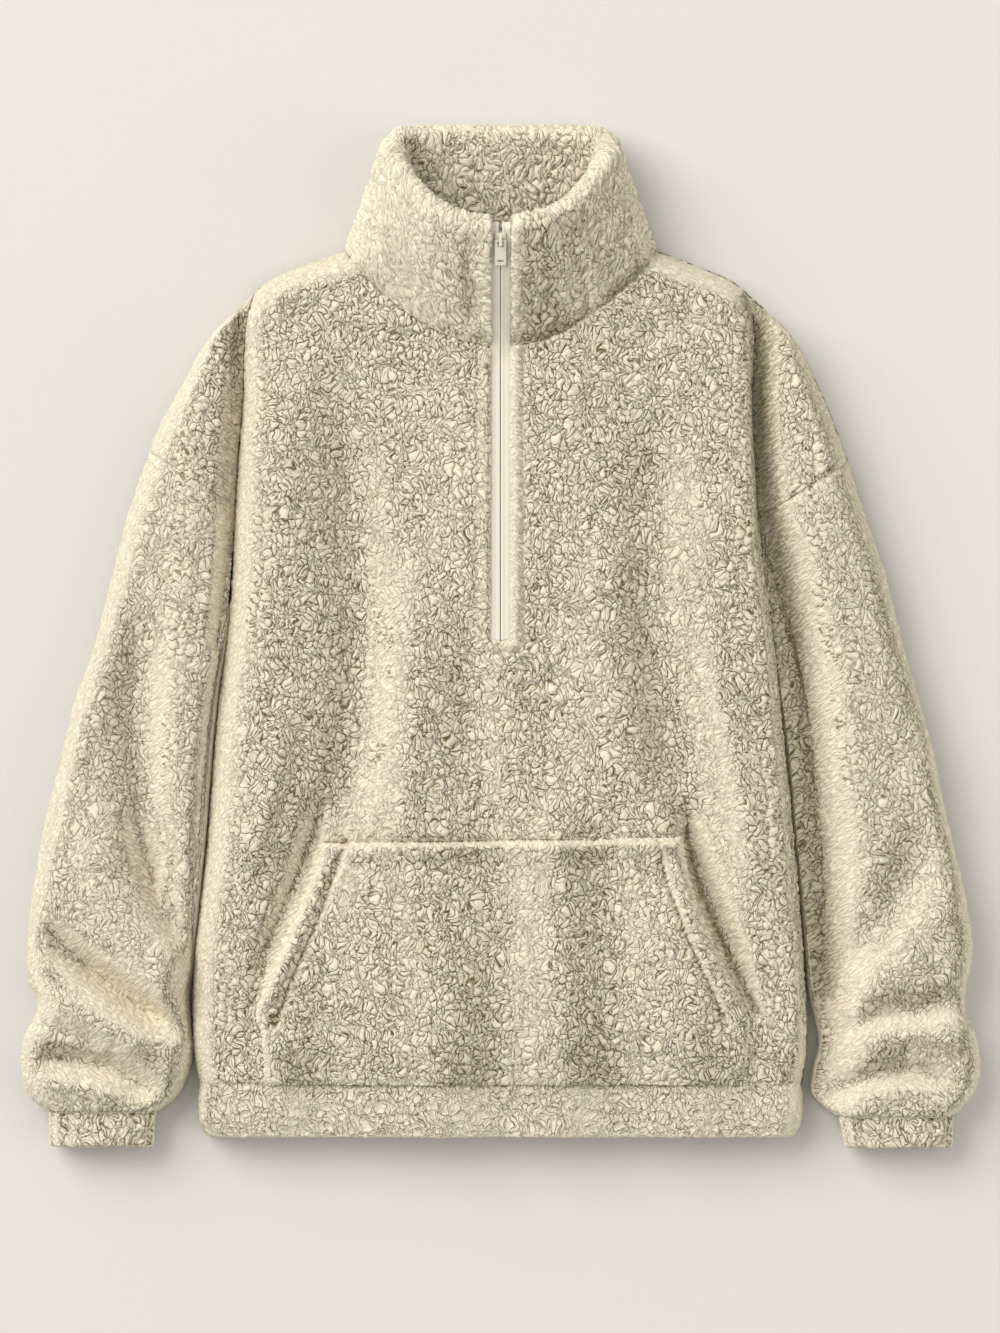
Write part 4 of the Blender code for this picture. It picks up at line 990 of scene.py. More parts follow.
class Cloth:
    """A piece of cloth that is put together from grids of points."""

    def __init__(self):
        self.points = []
        self.quads = []
        self.extras = {name: [] for name in ("u", "v", "loft", "seam_and_shade", "lie")}
        self.count = 0

    def add(self, grid, place=None, loft=1.0, seam_and_shade=0.0, lie=-1.0, wrap=False, keep=None):
        """A grid of points; `keep` says which of its cells are made.

        `lie` is how far its nap lies over; below 0, that comes from its slope, with
        1 + lie as the least.
        """
        rows, columns = grid.shape[:2]
        index = self.count + np.arange(rows * columns).reshape(rows, columns)
        if wrap:
            index = np.hstack([index, index[:, :1]])
        quads = np.stack([index[:-1, :-1], index[:-1, 1:], index[1:, 1:], index[1:, :-1]], axis=-1)
        quads = quads[keep] if keep is not None else quads.reshape(-1, 4)
        self.points.append(grid.reshape(-1, 3))
        self.quads.append(quads)
        place = grid if place is None else place
        values = (place[..., 0], place[..., 1], loft, seam_and_shade, lie)
        for name, value in zip(self.extras, values):
            self.extras[name].append(np.broadcast_to(value, (rows, columns)).reshape(-1))
        self.count += rows * columns

    def tuck(self, border, place, toward, steps=TUCK):
        """Turns a border under its neighbour, so that no gap shows at the seam."""
        way = np.append(np.asarray(toward, dtype=float), 0.0)
        grid = border[:, None] + steps[:, :1] * way + steps[:, 1:] * (0.0, 0.0, 1.0)
        under = walked(steps)[:, None] * (0.7, 0.7)
        self.add(grid, place[:, None] + under, loft=0.3)

    def welded(self):
        """Points, faces and extras with coinciding points made one."""
        points = np.concatenate(self.points)
        keys = np.round(points / WELD).astype(np.int64)
        _, first, number = np.unique(keys, axis=0, return_index=True, return_inverse=True)
        quads = number.reshape(-1)[np.concatenate(self.quads)]
        used = np.unique(quads)
        renumber = np.zeros(len(first), dtype=np.int64)
        renumber[used] = np.arange(len(used))
        kept = {name: np.concatenate(values)[first][used] for name, values in self.extras.items()}
        return points[first][used], renumber[quads], kept

    def build(self, name, finish, inside, shape=None, braids=()):
        """Makes the mesh, turns it away from the point `inside`, raises its pile."""
        points, quads, extras = self.welded()
        mesh = bpy.data.meshes.new(name)
        mesh.from_pydata((points * MM).tolist(), [], faces_away(points, quads, inside))
        mesh.shade_smooth()
        normals = np.zeros(len(points) * 3, dtype=np.float32)
        mesh.vertices.foreach_get("normal", normals)
        place = np.column_stack([extras.pop("u"), extras.pop("v"), np.zeros(len(points))])
        extras.update(nap_values(normals.reshape(-1, 3), extras["lie"]))
        vectors = {"pile": place, "braid": braided(points, braids)}
        for kind, field, group in (("FLOAT", "value", extras), ("FLOAT_VECTOR", "vector", vectors)):
            for title, values in group.items():
                made = mesh.attributes.new(title, kind, "POINT")
                made.data.foreach_set(field, values.astype(np.float32).reshape(-1))
        piece = placed(name, mesh)
        if shape is not None:
            raise_pile(piece, shape)
        piece.data.materials.clear()
        piece.data.materials.append(finish)
        return piece


def faces_away(points, quads, inside):
    """The faces that aren't empty, all turned away from a point inside."""
    corners = points[quads]
    facing = np.cross(corners[:, 2] - corners[:, 0], corners[:, 3] - corners[:, 1])
    if ((corners.mean(axis=1) - inside) * facing).sum() < 0:
        quads = quads[:, ::-1]
    whole = (quads != np.roll(quads, -1, axis=1)).all(axis=1)
    narrow = [tuple(dict.fromkeys(face)) for face in quads[~whole].tolist()]
    return ([tuple(face) for face in quads[whole].tolist()]
            + [face for face in narrow if len(face) == 3])


def nap_values(normals, lie):
    """How far the nap lies over (more on slopes that face the window light: painted light), the
    painted shade on slopes that face away from it, where the nap opens too, and its lean.
    """
    level = np.hypot(normals[:, 0], normals[:, 1])
    facing_away = normals[:, :2] @ np.array(SHADED_WAY)
    away = smooth((facing_away - AWAY_FROM) / (AWAY_FULL - AWAY_FROM))
    sloping = smooth((level - LIE_FROM) / (LIE_FULL - LIE_FROM))
    sloping = np.maximum(sloping, LIT_LIE * smooth((-facing_away - LIT_FROM) / LIT_REACH))
    steep = smooth((level - AWAY_STEEP) / AWAY_FADE)
    sloping = sloping * (1 - away * (1 - steep) * AWAY_OPEN)
    return {"lie": np.where(lie < 0, np.maximum(sloping, 1 + lie), lie),
            "away": away * (1 - smooth((facing_away - AWAY_END) / AWAY_FADE)),
            "lean": normals[:, 0] / (level + 0.05)}


def placed(name, data):
    """A new object in the scene."""
    piece = bpy.data.objects.new(name, data)
    bpy.context.scene.collection.objects.link(piece)
    return piece


def braided(points, braids):
    """Each point's place along and across the nearest braid, and how much it shows."""
    result = np.tile((0.0, 100.0, 0.0), (len(points), 1))
    for path in braids:
        line = even_spline(path, 10)
        along = walked(line)
        across = np.gradient(line, axis=0)
        across = unit(np.column_stack([across[:, 1], -across[:, 0]]))
        long_wave, short_wave = BRAID_SWAY
        wander = np.sin(along / long_wave) + 0.6 * np.sin(along / short_wave + path[0][0])
        line = line + across * (wander * BRAID_WANDER / 1.6)[:, None]
        low, high = line.min(axis=0) - BRAID_NEAR, line.max(axis=0) + BRAID_NEAR
        near = np.flatnonzero((points[:, :2] > low).all(axis=1) & (points[:, 2] > BRAID_LOWEST)
                              & (points[:, :2] < high).all(axis=1))
        distance, place = nearest_on(line, points[near, 0], points[near, 1])
        closer = distance < np.abs(result[near, 1])
        near, distance, place = near[closer], distance[closer], place[closer]
        index = np.minimum(place.astype(int), len(line) - 2)
        span = np.diff(line, axis=0)[index]
        offset = points[near, :2] - line[index]
        sign = np.sign(span[:, 0] * offset[:, 1] - span[:, 1] * offset[:, 0])
        share = place / (len(line) - 1)
        result[near, 0] = np.interp(place, np.arange(len(line)), along)
        result[near, 1] = distance * np.where(sign == 0, 1, sign)
        result[near, 2] = smooth(share / BRAID_FADE) * smooth((1 - share) / BRAID_FADE)
    return result


def raise_pile(piece, shape):
    """Runs the curls' node tree on a piece and keeps the mesh that it gives."""
    step = piece.modifiers.new("curls", "NODES")
    step.node_group = shape
    graph = bpy.context.evaluated_depsgraph_get()
    raised = bpy.data.meshes.new_from_object(piece.evaluated_get(graph))
    piece.modifiers.clear()
    flat = piece.data
    piece.data = raised
    bpy.data.meshes.remove(flat)
    raised.name = piece.name
    places = np.zeros(len(raised.vertices) * 3, dtype=np.float32)
    raised.vertices.foreach_get("co", places)
    places[2::3] = np.maximum(places[2::3], 0.0)
    raised.vertices.foreach_set("co", places)


def tidy_up(piece, slot, *nodes, body="garment"):
    """Puts a finished piece on its body in place of its solids."""
    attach(piece, body)
    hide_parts(*nodes)


# ------------------------------------------------------------- cloth pieces

def make_front_half(side, finish, shape):
    """Half the front, with its half of the slit and its dropped shoulder."""
    rows = body_rows(even_places([(row[0], 0.0) for row in BODY_ROWS], STEP))
    edge, _, length = row_span(side, rows, "front")
    slit = length * (1 - FLEECE_SLIT / np.abs(edge[:, 0]))
    distance = steps_in(front_roll(side, rows), slit, STEP, STEP)
    edge_column = distance.shape[1] - 1
    middle = between(slit, length, cells(length - slit, STEP))
    distance = np.concatenate([distance, middle], axis=-1)
    grid, place = front_face(side, rows, distance)
    shoulder, shoulder_place = wing(side, rows, grid[:, 0], True, STEP)
    foot = int(np.searchsorted(rows["place"], ZIP_ROW))
    keep = np.ones((grid.shape[0] - 1, grid.shape[1] - 1), dtype=bool)
    keep[foot:, edge_column:] = False
    cloth = Cloth()
    seam_and_shade = press_seams(grid, front_seams(side))
    loft, lie = front_loft(grid)
    # Painted shade on the right: the body's edge beside the sleeve is darkened and its nap opened.
    beside = smooth(rows["place"] - 1) * smooth(SHOULDER_ROW - rows["place"])
    wide, fade, dark = EDGE_SHADE[side]
    shade = smooth((wide + fade - distance) / fade) * beside[:, None] * (dark > 0)
    lie = np.where(shade > 0.1, 0.3 - 0.1 * shade, lie)
    cloth.add(grid, place, loft, np.maximum(seam_and_shade, dark * shade), lie, keep=keep)
    seam_and_shade = press_seams(shoulder, front_seams(side))
    shoulder[:, -1] = grid[beside_arm(rows), 0]
    cloth.add(shoulder, shoulder_place, seam_and_shade=seam_and_shade)
    slit_edge = (slice(foot, None), edge_column)
    slit_foot = (foot, slice(edge_column, None))
    neck = (-1, slice(0, edge_column + 1))
    for border, way in ((0, -1), (neck, 1), (slit_edge, 0), (slit_foot, 0)):
        cloth.tuck(grid[border], place[border], (0, way))
    cloth.tuck(shoulder[0], shoulder_place[0], (0, -1))
    return cloth.build("front_" + side, finish, INSIDE["front"], shape,
                       BRAIDS["front"] + BRAIDS[side])


def front_loft(grid):
    """Height and nap of the pile, which is short and smooth on the edge beside the zip."""
    x, y = grid[..., 0], grid[..., 1]
    distance = from_slit(x, y)
    out = smooth((distance - ZIP_EDGE_TURN) / (ZIP_EDGE_STITCH - ZIP_EDGE_TURN))
    brushed = smooth((ZIP_EDGE_STITCH + 2 - distance) / 3)
    lie = np.where(x > 0, ZIP_BRUSHED["right"] * brushed, ZIP_BRUSHED["left"])
    return ZIP_PILE + (1 - ZIP_PILE) * out, np.where(brushed > 0, lie, -1.0)


def front_seams(side):
    """All lines along which the pile of half the front is stitched or pressed down; beside the hand
    openings and in the groove they also carry painted shade.
    """
    wide = [(BODY_ROWS[0][2], HEM_SEAM), (BODY_ROWS[0][4], HEM_SEAM)]
    return (armhole_seam(side), (neck_line(side), SEAM_DENT), (wide, SEAM_DENT),
            POCKET_SHADE[side], groove_shade(side))


def groove_shade(side):
    """The line in the groove beside the body along which the pile is pressed down and darkened by
    painted shade.
    """
    table = GROOVE_SHADE[side]
    rows = body_rows(np.linspace(table[0][0], table[-1][0], 40))
    return outline(side, rows, looked_up(table, rows["place"])), GROOVE_PRESS[side]


def make_back(finish, shape):
    """The back with the under sides of both dropped shoulders."""
    rows = body_rows(even_places([(row[1], 0.0) for row in BODY_ROWS], UNDER_STEP))
    cloth = Cloth()
    for side in ("left", "right"):
        length = row_span(side, rows, "back")[2]
        grid, place = back_face(side, rows, steps_in(rows["roll"], length, UNDER_STEP, EDGE_STEP))
        cloth.add(grid, place)
        cloth.add(*wing(side, rows, grid[:, 0], False, UNDER_STEP))
    return cloth.build("back", finish, INSIDE["back"], shape)


def sleeve_face(side, places, over, step, edge_step):
    """Upper or under face of a sleeve, from its outer edge to its inner one."""
    row = named(SLEEVE_COLUMNS, spline(SLEEVE_ROWS[side], places))
    start = np.stack([row["outer_x"], row["outer_y"]], axis=-1)
    end = np.stack([row["inner_x"], row["inner_y"]], axis=-1)
    length = np.linalg.norm(end - start, axis=-1)
    down_arm = places / (len(SLEEVE_ROWS[side]) - 1)
    wrist = smooth((down_arm - WRIST_SHARE) / (1 - WRIST_SHARE))
    roll = SLEEVE_ROLL + (WRIST_ROLL - SLEEVE_ROLL) * wrist
    edge_z = SIDE_SEAM + (ARM_SEAM - SIDE_SEAM) * smooth(down_arm / ARMHOLE_FADE)
    edge_z = (edge_z + (WRIST_SEAM - ARM_SEAM) * wrist)[:, None]
    near = around_edge(roll, cells(roll * math.pi / 2, edge_step))
    flat = between(roll, length - roll, cells(length - 2 * roll, step))[:, :-1]
    distance = np.concatenate([near, flat, (length[:, None] - near)[:, ::-1]], axis=-1)
    _, sine = turn(np.minimum(distance, length[:, None] - distance), roll[:, None])
    share = distance / length[:, None]
    seam, down = armhole_line(side)
    line = np.vstack([seam, down])
    line_share = np.concatenate([np.linspace(0.0, 0.5, len(seam), endpoint=False),
                                 np.linspace(0.5, 1.0, len(down))])
    bend = np.stack([np.interp(share, line_share, line[:, k]) for k in range(2)], axis=-1)
    first = np.array(SLEEVE_ROWS[side][0], dtype=float)
    chord = first[:2] + (first[2:] - first[:2]) * share[..., None]
    hold = np.maximum(0.0, 1 - down_arm / ARMHOLE_FADE)[:, None, None] ** 2
    plan = spread(start, end - start, share) + hold * (bend - chord)
    z = drop = edge_z * (1 - sine)
    if over:
        top = arm_height(side, plan[..., 0], plan[..., 1])
        z = edge_z + (top - edge_z) * sine
        drop = top - z
    fill_from, fade = GROOVE_FILL_FROM
    lowest = looked_up(GROOVE_FILL[side], plan[..., 1], left=0.0)
    lowest = lowest * smooth((share - fill_from) / fade)
    meets = (share > 0.999) | over
    z = np.where(meets, np.maximum(z, np.minimum(lowest, GROOVE_FILL_MOST)), z)
    outward = unit(start - end)[:, None] * np.sign(0.5 - share)[..., None]
    return laid_out(plan, z, outward, drop)


def make_sleeve(side, finish, shape):
    """A sleeve: its upper face in full pile, its under face, and its turned borders."""
    middle = [((row[0] + row[2]) / 2, (row[1] + row[3]) / 2) for row in SLEEVE_ROWS[side]]
    places = even_places(middle, STEP)
    over, over_place = sleeve_face(side, places, True, STEP, STEP)
    under, under_place = sleeve_face(side, places, False, UNDER_STEP, EDGE_STEP)
    x, y = CUFFS[side]["seam"]
    above_cuff = [(x - CUFF_SEAM, y), (x + CUFF_SEAM, y)]
    seams = (armhole_seam(side), (above_cuff, SEAM_DENT), groove_shade(side))
    cloth = Cloth()
    cloth.add(over, over_place, seam_and_shade=press_seams(over, seams), lie=SLEEVE_LIE)
    cloth.add(under, under_place)
    cloth.tuck(over[-1], over_place[-1], (0, -1))
    cloth.tuck(over[:, -1], over_place[:, -1], (-SIGN[side], 0), SKIRT)
    centre = np.append(over[len(over) // 2].mean(axis=0)[:2], 20.0)
    return cloth.build("sleeve_" + side + "_fleece", finish, centre, shape, BRAIDS[side])


def cuff_ring(side, share, inset, around):
    """One gathered ring of a cuff, `share` of the way to its open end."""
    seam, end, half = (np.array(CUFFS[side][name]) for name in ("seam", "end", "half"))
    centre = seam + (end - seam) * share
    angle = np.linspace(0.0, 2 * math.pi, around, endpoint=False)
    pinch = inset + CUFF_GATHER_DEPTH * (0.5 + 0.5 * np.cos(CUFF_GATHERS * angle))

    def squared(wave, power, reach):
        return np.sign(wave) * np.abs(wave) ** power * (reach - pinch)

    wide = squared(np.cos(angle), CUFF_SQUARE[0], half[0] + (half[1] - half[0]) * share)
    tall = squared(np.sin(angle), CUFF_SQUARE[1], CUFF_LOFT / 2)
    return np.column_stack([centre[0] + wide, np.full(around, centre[1]), CUFF_LOFT / 2 + tall])


def lip_path(lip, wall, reach, step):
    """Shares and insets of a tube's rings: down its face, round its lip, back inside."""
    face = np.linspace(0.0, lip, max(2, round(reach * lip / step)) + 1)
    angles = np.linspace(0.0, math.pi, 9)[1:-1]
    shares = np.concatenate([face, lip + (1 - lip) * np.sin(angles), face[::-1]])
    insets = np.concatenate([face * 0, wall / 2 * (1 - np.cos(angles)), face * 0 + wall])
    return zip(shares, insets)


def laid_round(girth, down):
    """A tube's places laid out flat, from the walks round it and down it."""
    return np.stack(np.broadcast_arrays(girth[None], down[:, None]), axis=-1)


def make_cuff(side, finish, shape):
    """A gathered cuff: down its face, round its lip and back up inside."""
    cuff = CUFFS[side]
    reach = cuff["seam"][1] - cuff["end"][1]
    around = round(2 * (cuff["half"][0] * 2 + CUFF_LOFT) / STEP)
    rings = np.array([cuff_ring(side, share, inset, around)
                      for share, inset in lip_path(CUFF_LIP, CUFF_WALL, reach, STEP)])
    place = laid_round(walked(rings[0]), -walked(rings[:, around // 4]))
    cloth = Cloth()
    cloth.add(rings, place, loft=CUFF_PILE, wrap=True)
    centre = np.append(cuff["seam"], CUFF_LOFT / 2)
    return cloth.build("cuff_" + side + "_fleece", finish, centre, shape)


def hem_ring(share, inset):
    """One ring of the hem band, `share` of the way down from its seam."""
    row = named(HEM_COLUMNS, spline(HEM_ROWS, [share * (len(HEM_ROWS) - 1)])[0])
    roll, edge_z = row["roll"], row["edge_z"]
    length = row["right"] - row["left"]

    def points(step, over):
        near = around_edge([roll], round(HEM_ROWS[0][4] * math.pi / 2 / step))[0]
        flat = np.linspace(roll, length - roll, round(HEM_ROWS[0][2] * 2 / step))[1:-1]
        distance = np.concatenate([near, flat, (length - near)[::-1]])
        cosine, sine = turn(np.minimum(distance, length - distance), roll)
        inward = np.where(distance < length / 2, 1.0, -1.0)
        x = row["left"] + distance + inward * inset * cosine
        y = np.full(len(x), row["y"] + HEM_OVERLAP * (1 - share))
        if over:
            top = body_height(x, y) - row["drop"] + HEM_BULGE
            z = edge_z + (top - inset - edge_z) * sine
        else:
            z = edge_z - (edge_z - inset) * sine
        return np.column_stack([x, y, z])

    return points(HEM_STEP, True), points(HEM_UNDER_STEP, False)


def make_hem(finish, shape):
    """The hem band, with the seam above it and the stitches below that."""
    seam_y, wide = HEM_ROWS[0][0], HEM_ROWS[0][2] - 10
    rings = [hem_ring(share, inset)
             for share, inset in lip_path(HEM_LIP, HEM_WALL, seam_y - HEM_ROWS[-1][0], STEP)]
    over, under = (np.array(face) for face in zip(*rings))
    girth = walked(over[0])
    place = laid_round(girth - girth[-1] / 2, seam_y - walked(over[:, over.shape[1] // 2]))
    seams = [([(-wide, y), (wide, y)], sizes)
             for y, sizes in ((seam_y, SEAM_DENT), (HEM_STITCH, STITCH_DENT))]
    face = len(rings) // 2
    seam_and_shade = np.zeros(over.shape[:2])
    seam_and_shade[:face] = press_seams(over[:face], seams)
    cloth = Cloth()
    cloth.add(over, place, seam_and_shade=seam_and_shade, lie=HEM_LIE)
    cloth.add(under)
    return cloth.build("hem_fleece", finish, INSIDE["hem"], shape)


def pocket_edge(side, y):
    """X of the pocket's edge at some places along Y."""
    table = named(POCKET_COLUMNS, even_spline(POCKET_ROWS, 4)[::-1])
    return np.interp(y, table["y"], table[side])


def make_pocket(finish, shape):
    """The kangaroo pocket, raised on the front with a rounded edge all round."""
    top, bottom = POCKET_ROWS[0][0], POCKET_ROWS[-1][0] + SEAM
    y = np.linspace(top, bottom, cells(top - bottom, STEP) + 1)
    left, right = pocket_edge("left", y), pocket_edge("right", y)
    shares = np.linspace(0.0, 1.0, cells(right - left, STEP) + 1)
    x = left[:, None] + (right - left)[:, None] * shares
    y = np.repeat(y[:, None], len(shares), axis=1)
    open_edge = np.vstack([np.column_stack([left[::-1], y[::-1, 0]]),
                           np.column_stack([right, y[:, 0]])])
    distance, _ = nearest_on(open_edge[::4], x, y)
    _, sine = turn(distance, POCKET_ROUND)
    above = POCKET_SEWN + (POCKET_RISE - POCKET_SEWN) * smooth((y - bottom) / POCKET_TAPER)
    z = body_height(x, y) + above * sine
    rise, place, width = POCKET_BAND
    z += rise * ridge(distance - place, width) * smooth((y - POCKET_BAND_END) / 8.0)
    rise, place, width = POCKET_TOP
    z += rise * ridge(top - y - place, width)
    grid = np.stack([x, y, z], axis=-1)
    seams = POCKET_STITCHES + ((((-190, bottom), (190, bottom)), SEAM_DENT),)
    cloth = Cloth()
    cloth.add(grid, seam_and_shade=press_seams(grid, seams))
    return cloth.build("pocket_fleece", finish, INSIDE["pocket"], shape)


# ------------------------------------------------------------------- collar

def neck_seam(side, share):
    """The collar's foot: along the front neck seam, then along the back's."""
    rows = body_rows(np.array([float(NECK_ROW)]))
    if share <= 0.5:
        edge, _, length = row_span(side, rows, "front")
        to_zip = length * (1 - FLEECE_SLIT / abs(edge[0, 0]))
        reach = (to_zip * (1 - share / 0.5))[:, None]
        point = front_face(side, rows, reach)[0][0, 0]
        point[2] -= zip_edge(point[0], point[1]) * turn(reach, rows["roll"][0])[1][0, 0]
        return point
    length = row_span(side, rows, "back")[2]
    return back_face(side, rows, (length * (share - 0.5) / 0.5)[:, None])[0][0, 0]


def collar_lines():
    """Foot and rim of the collar, from the zip's left side round to its right."""
    shares = np.array(COLLAR_SHARES)
    known = named(RIM_COLUMNS, COLLAR_RIM_ROWS)["share"]
    rim = spline(COLLAR_RIM_ROWS, np.interp(shares, known, np.arange(len(known))))[:, 1:]
    foot_left = np.array([neck_seam("left", share) for share in shares])
    foot_right = np.array([neck_seam("right", share) for share in shares])
    foot = np.vstack([foot_left, foot_right[-2::-1]])
    rim = np.vstack([rim, (rim * (-1, 1, 1))[-2::-1]])
    return foot, rim


def collar_sections(plump=0.0):
    """Sections: up the outside, over the thick rim, down the inside."""
    foot, rim = collar_lines()
    rise = unit(rim - foot)
    along = np.gradient((foot + rim) / 2, axis=0)
    outward = unit(-np.cross(along, rise))
    for end in (0, -1):
        outward[end, 0] = 0.0
    outward = unit(outward)
    at_foot = unit(outward * (1, 0, 1))
    foot = foot - rise * FOOT_OVERLAP + at_foot * FOOT_LIFT
    rise = unit(rim - (foot - at_foot * COLLAR_BASE / 2))
    sections = []
    for level in np.linspace(0.0, 1.0, COLLAR_RISE + 1):
        normal = unit(at_foot + (outward - at_foot) * level)
        wall = COLLAR_BASE + (COLLAR_RIM - COLLAR_BASE) * level + plump * level ** 2
        middle = (foot - at_foot * COLLAR_BASE / 2) * (1 - level) + rim * level
        swell = COLLAR_BULGE * math.sin(math.pi * level) * np.clip(normal[:, 2:], 0, 1)
        sections.append((middle + normal * swell, normal * wall / 2))
    outside = [middle + half for middle, half in sections]
    inside = [middle - half for middle, half in sections[::-1]]
    lip = []
    for angle in np.linspace(0.0, math.pi, RIM_STEPS + 1)[1:-1]:
        way = outward * math.cos(angle) + rise * math.sin(angle)
        lip.append(rim + way * (COLLAR_RIM + plump) / 2)
    loops = np.stack(outside + lip + inside, axis=1)
    loops[..., 2] = np.maximum(loops[..., 2], 0.0)
    for end, x in ((0, -FLEECE_SLIT), (-1, FLEECE_SLIT)):
        loops[end, :, 0] = x
    return loops


def make_collar(finish, shape):
    """The collar: up its outside, over its thick rim and down its inside."""
    sections = collar_sections(RIM_PLUMP)
    grid = spline(sections, even_places(sections[:, COLLAR_RISE], STEP))
    up_and_over = even_places(sections[len(sections) // 4], STEP)
    grid = np.swapaxes(spline(np.swapaxes(grid, 0, 1), up_and_over), 0, 1)
    grid[..., 2] = np.maximum(grid[..., 2], 0.0)
    x, half = grid[..., 0], grid.shape[1] // 2
    outside = grid[:, :half]
    outside[..., 2] += fold_height(COLLAR_CREASES, outside[..., 0], outside[..., 1])
    up = from_foot = walked(grid[grid.shape[0] // 8])
    rim = ridge(up - up[half], RIM_TUFT)
    up = np.concatenate([[0.0], np.cumsum(np.diff(up) * (1 - 0.5 * rim[1:]))])
    place = laid_round(up, walked(grid[:, half // 2]))[..., ::-1] / COLLAR_CURL
    inside = np.arange(grid.shape[1]) > half + 10
    middle, width, highest = COLLAR_OPEN
    open_pile = ridge(np.abs(x) - middle, width) * (grid[..., 1] < highest)
    open_pile = np.where(x > 0, COLLAR_OPENS["right"], COLLAR_OPENS["left"]) * open_pile
    # Painted light: on the left, towards the window light, the collar's nap lies over more, so it
    # shows paler.
    lie = COLLAR_LIE - open_pile + 0.12 * smooth((-x - 40) / 20)
    lie = np.where(inside, COLLAR_INSIDE_LIE, lie) + 0.1 * rim
    edge, fade = COLLAR_BRUSHED
    brushed = smooth((edge - x) / fade) * (x > 0) * ~inside
    # Painted shade along the collar's foot, darker on the right; the pile isn't pressed there.
    dark, darker, fade = FOOT_DARK
    seam_and_shade = (dark + darker * smooth(x / fade)) * ridge(from_foot, FOOT_SHADE) * ~inside
    cloth = Cloth()
    cloth.add(grid, place, COLLAR_PILE + 0.4 * rim, seam_and_shade, np.maximum(lie, 0.95 * brushed))
    cloth.tuck(grid[:, 0], place[:, 0], (0, 1), SKIRT)
    for end in (0, -1):
        near, far = grid[end, :half], grid[end, ::-1][:half]
        cap = near[:, None] + (far - near)[:, None] * np.linspace(0, 1, 9)[:, None]
        cloth.add(cap, loft=0.4)
    return cloth.build("collar_fleece", finish, INSIDE["collar"], shape)


# ---------------------------------------------------------------------- zip

def zip_line():
    """Y and Z of the fleece face along the zip, from its foot to the rim."""
    neck = BODY_ROWS[NECK_ROW][0] - ZIP_NECK_GAP
    y = np.linspace(ZIP_FOOT + SEAM, neck, 13)
    body = np.column_stack([y, body_height(np.zeros(len(y)), y)])
    collar = collar_sections()[0][1:COLLAR_RISE + 3, 1:]
    return np.vstack([body, collar])


def zip_out(line):
    """Unit directions out of the face along the zip, in Y and Z."""
    along = unit(np.gradient(line, axis=0))
    return np.column_stack([-along[:, 1], along[:, 0]])


def make_tape(side, finish):
    """One zip tape: a raised cord beside the coil, then flat woven tape."""
    line = even_spline(zip_line(), 12)
    parted = smooth((line[:, 0] - (SLIDER_Y - TAPE_SPREAD[0])) / TAPE_SPREAD[1])
    near = CHAIN_GAP + parted * (SLIDER_POST / 2 + SEAM - CHAIN_GAP)
    share, rise = np.transpose(TAPE_PROFILE)
    x = SIGN[side] * (near[:, None] + (ZIP_SLIT - SEAM - near)[:, None] * share)
    deep = (rise - TAPE_SINK)[:, None]
    grid = np.concatenate([x[..., None], line[:, None] + zip_out(line)[:, None] * deep], axis=-1)
    cloth = Cloth()
    cloth.add(grid)
    return cloth.build("tape_" + side, finish, INSIDE["tape"])


def make_coil(finish):
    """The two interlocked nylon coils under the tapes."""
    line = zip_line()
    line = line[line[:, 0] < SLIDER_Y - SLIDER_LENGTH]
    run = walked(line)
    turns = int(run[-1] / COIL_PITCH)
    angle = np.arange(turns * COIL_POINTS + 1) * 2 * math.pi / COIL_POINTS
    place = angle / (2 * math.pi) * COIL_PITCH
    y, z = (np.interp(place, run, line[:, k]) for k in range(2))
    depth = TAPE_SINK + TAPE + SEAM + CHAIN_DEPTH / 2
    ring = np.linspace(0, 2 * math.pi, COIL_SIDES, endpoint=False)[:, None]
    cloth = Cloth()
    for sign in (-1, 1):
        x = sign * (COIL_CENTRE + COIL_WIDE * np.cos(angle))
        path = np.column_stack([x, y, z - depth + COIL_TALL * np.sin(angle) * sign])
        along = unit(np.gradient(path, axis=0))
        beside = unit(np.cross(along, (0.0, 1.0, 0.0)))
        above = np.cross(along, beside)
        around = beside[:, None] * np.cos(ring) + above[:, None] * np.sin(ring)
        cloth.add(path[:, None] + COIL_WIRE * around, wrap=True)
    return cloth.build("zip_coil", finish, INSIDE["coil"])


def make_enamel(name, node, finish):
    """A cast and enamelled part, its edges rounded, laid over its solid."""
    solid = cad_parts[node]
    shape = bmesh.new()
    shape.from_mesh(solid.data)
    bmesh.ops.remove_doubles(shape, verts=shape.verts, dist=WELD * MM / 2)
    bmesh.ops.dissolve_limit(shape, angle_limit=ENAMEL_FLAT, verts=shape.verts, edges=shape.edges)
    sharp = [edge for edge in shape.edges
             if edge.is_manifold and edge.calc_face_angle(0.0) > math.radians(ENAMEL_SHARP)]
    bmesh.ops.bevel(shape, geom=sharp, offset=ENAMEL_ROUND * MM, segments=3, profile=0.5,
                    affect="EDGES", clamp_overlap=True)
    bmesh.ops.triangulate(shape, faces=shape.faces)
    mesh = bpy.data.meshes.new(name)
    shape.to_mesh(mesh)
    shape.free()
    mesh.materials.append(finish)
    piece = placed(name, mesh)
    piece.matrix_world = solid.matrix_world.copy()
    return piece


# ------------------------------------------------------- camera, light, floor

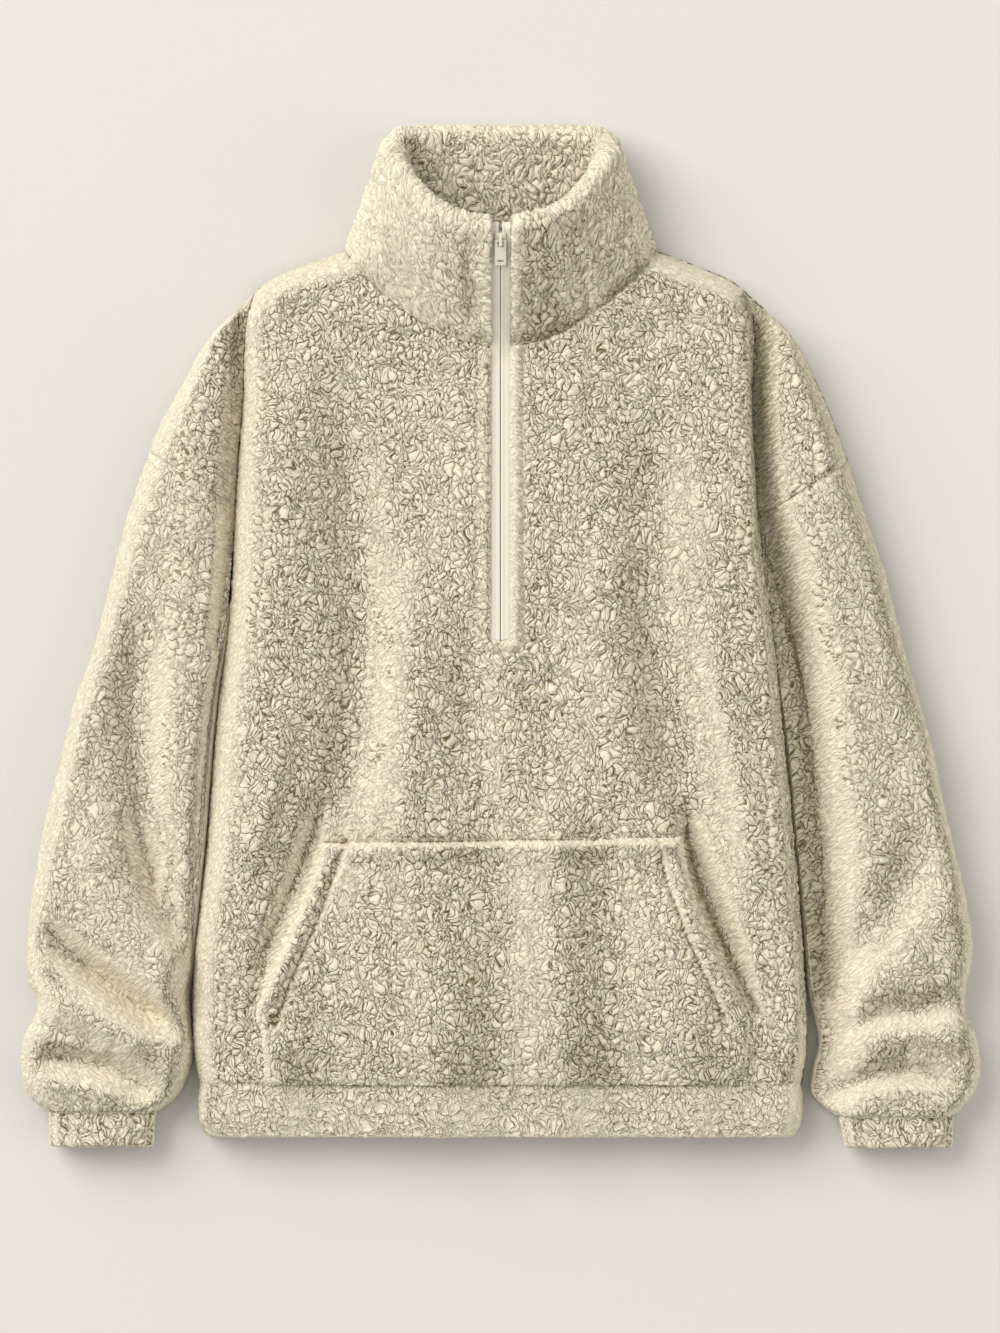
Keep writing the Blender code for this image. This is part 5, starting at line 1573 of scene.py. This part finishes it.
def make_camera():
    """A camera straight above, whose frame is VIEW_SIZE picture elements."""
    camera = bpy.data.cameras.new("camera")
    camera.lens = camera.sensor_width * (CAMERA_HEIGHT - VIEW_CENTRE[2]) / (VIEW_SIZE[1] * PIXEL)
    holder = placed("camera", camera)
    holder.location = (VIEW_CENTRE[0], VIEW_CENTRE[1], CAMERA_HEIGHT)
    bpy.context.scene.camera = holder


def make_light(name, place, size, power, colour):
    light = bpy.data.lights.new(name, "AREA")
    light.size = size
    light.energy = power
    light.color = colour
    holder = placed(name, light)
    holder.location = place
    holder.rotation_euler = (-Vector(place)).to_track_quat("-Z", "Y").to_euler()


def make_floor():
    bpy.ops.mesh.primitive_plane_add(size=FLOOR_SIZE, location=(0, 0, FLOOR_Z))
    floor = bpy.context.active_object
    floor.name = "floor"
    made, nodes = new_finish("pale_floor")
    nodes.finish({"Base Color": FLOOR, "Roughness": 0.9,
                  "Specular IOR Level": 0.1})
    floor.data.materials.append(made)


def make_surroundings():
    world = bpy.data.worlds.new("soft_room")
    bpy.context.scene.world = world
    world.use_nodes = True
    background = world.node_tree.nodes["Background"]
    for name, value in zip(("Color", "Strength"), ROOM):
        background.inputs[name].default_value = value
    for light in LIGHTS:
        make_light(*light)
    make_floor()
    bpy.context.scene.view_settings.view_transform = "Standard"


# --------------------------------------------------------------------- main

def main():
    pile = pile_finish("oat_sherpa", *FLEECE)
    shape = pile_shape(*CURLS)
    pressed = pile_shape(*PRESSED)
    for side in ("left", "right"):
        for make, node in ((make_front_half, "front_panel"), (make_sleeve, "sleeve_" + side),
                           (make_cuff, "cuff_" + side)):
            tidy_up(make(side, pile, shape), "sherpa", node)
        tidy_up(make_tape(side, tape_finish()), "tape", "zip_tape_" + side)
    for make, raised, node in ((make_back, pressed, "back_panel"), (make_hem, shape, "hem_band"),
                               (make_pocket, shape, "pocket"), (make_collar, shape, "collar")):
        tidy_up(make(pile, raised), "sherpa", node)
    coil = hard_finish("cream_coil", *NYLON, 0.45)
    tidy_up(make_coil(coil), "coil", "zip_chain")
    enamel = hard_finish("cream_enamel", *ENAMEL, 0.3)
    for name, node, body in (("enamel_slider", "zip_slider", "garment"),
                             ("enamel_pull", "zip_pull", "pull_tab")):
        tidy_up(make_enamel(name, node, enamel), "enamel", node, body=body)
    make_camera()
    make_surroundings()


main()
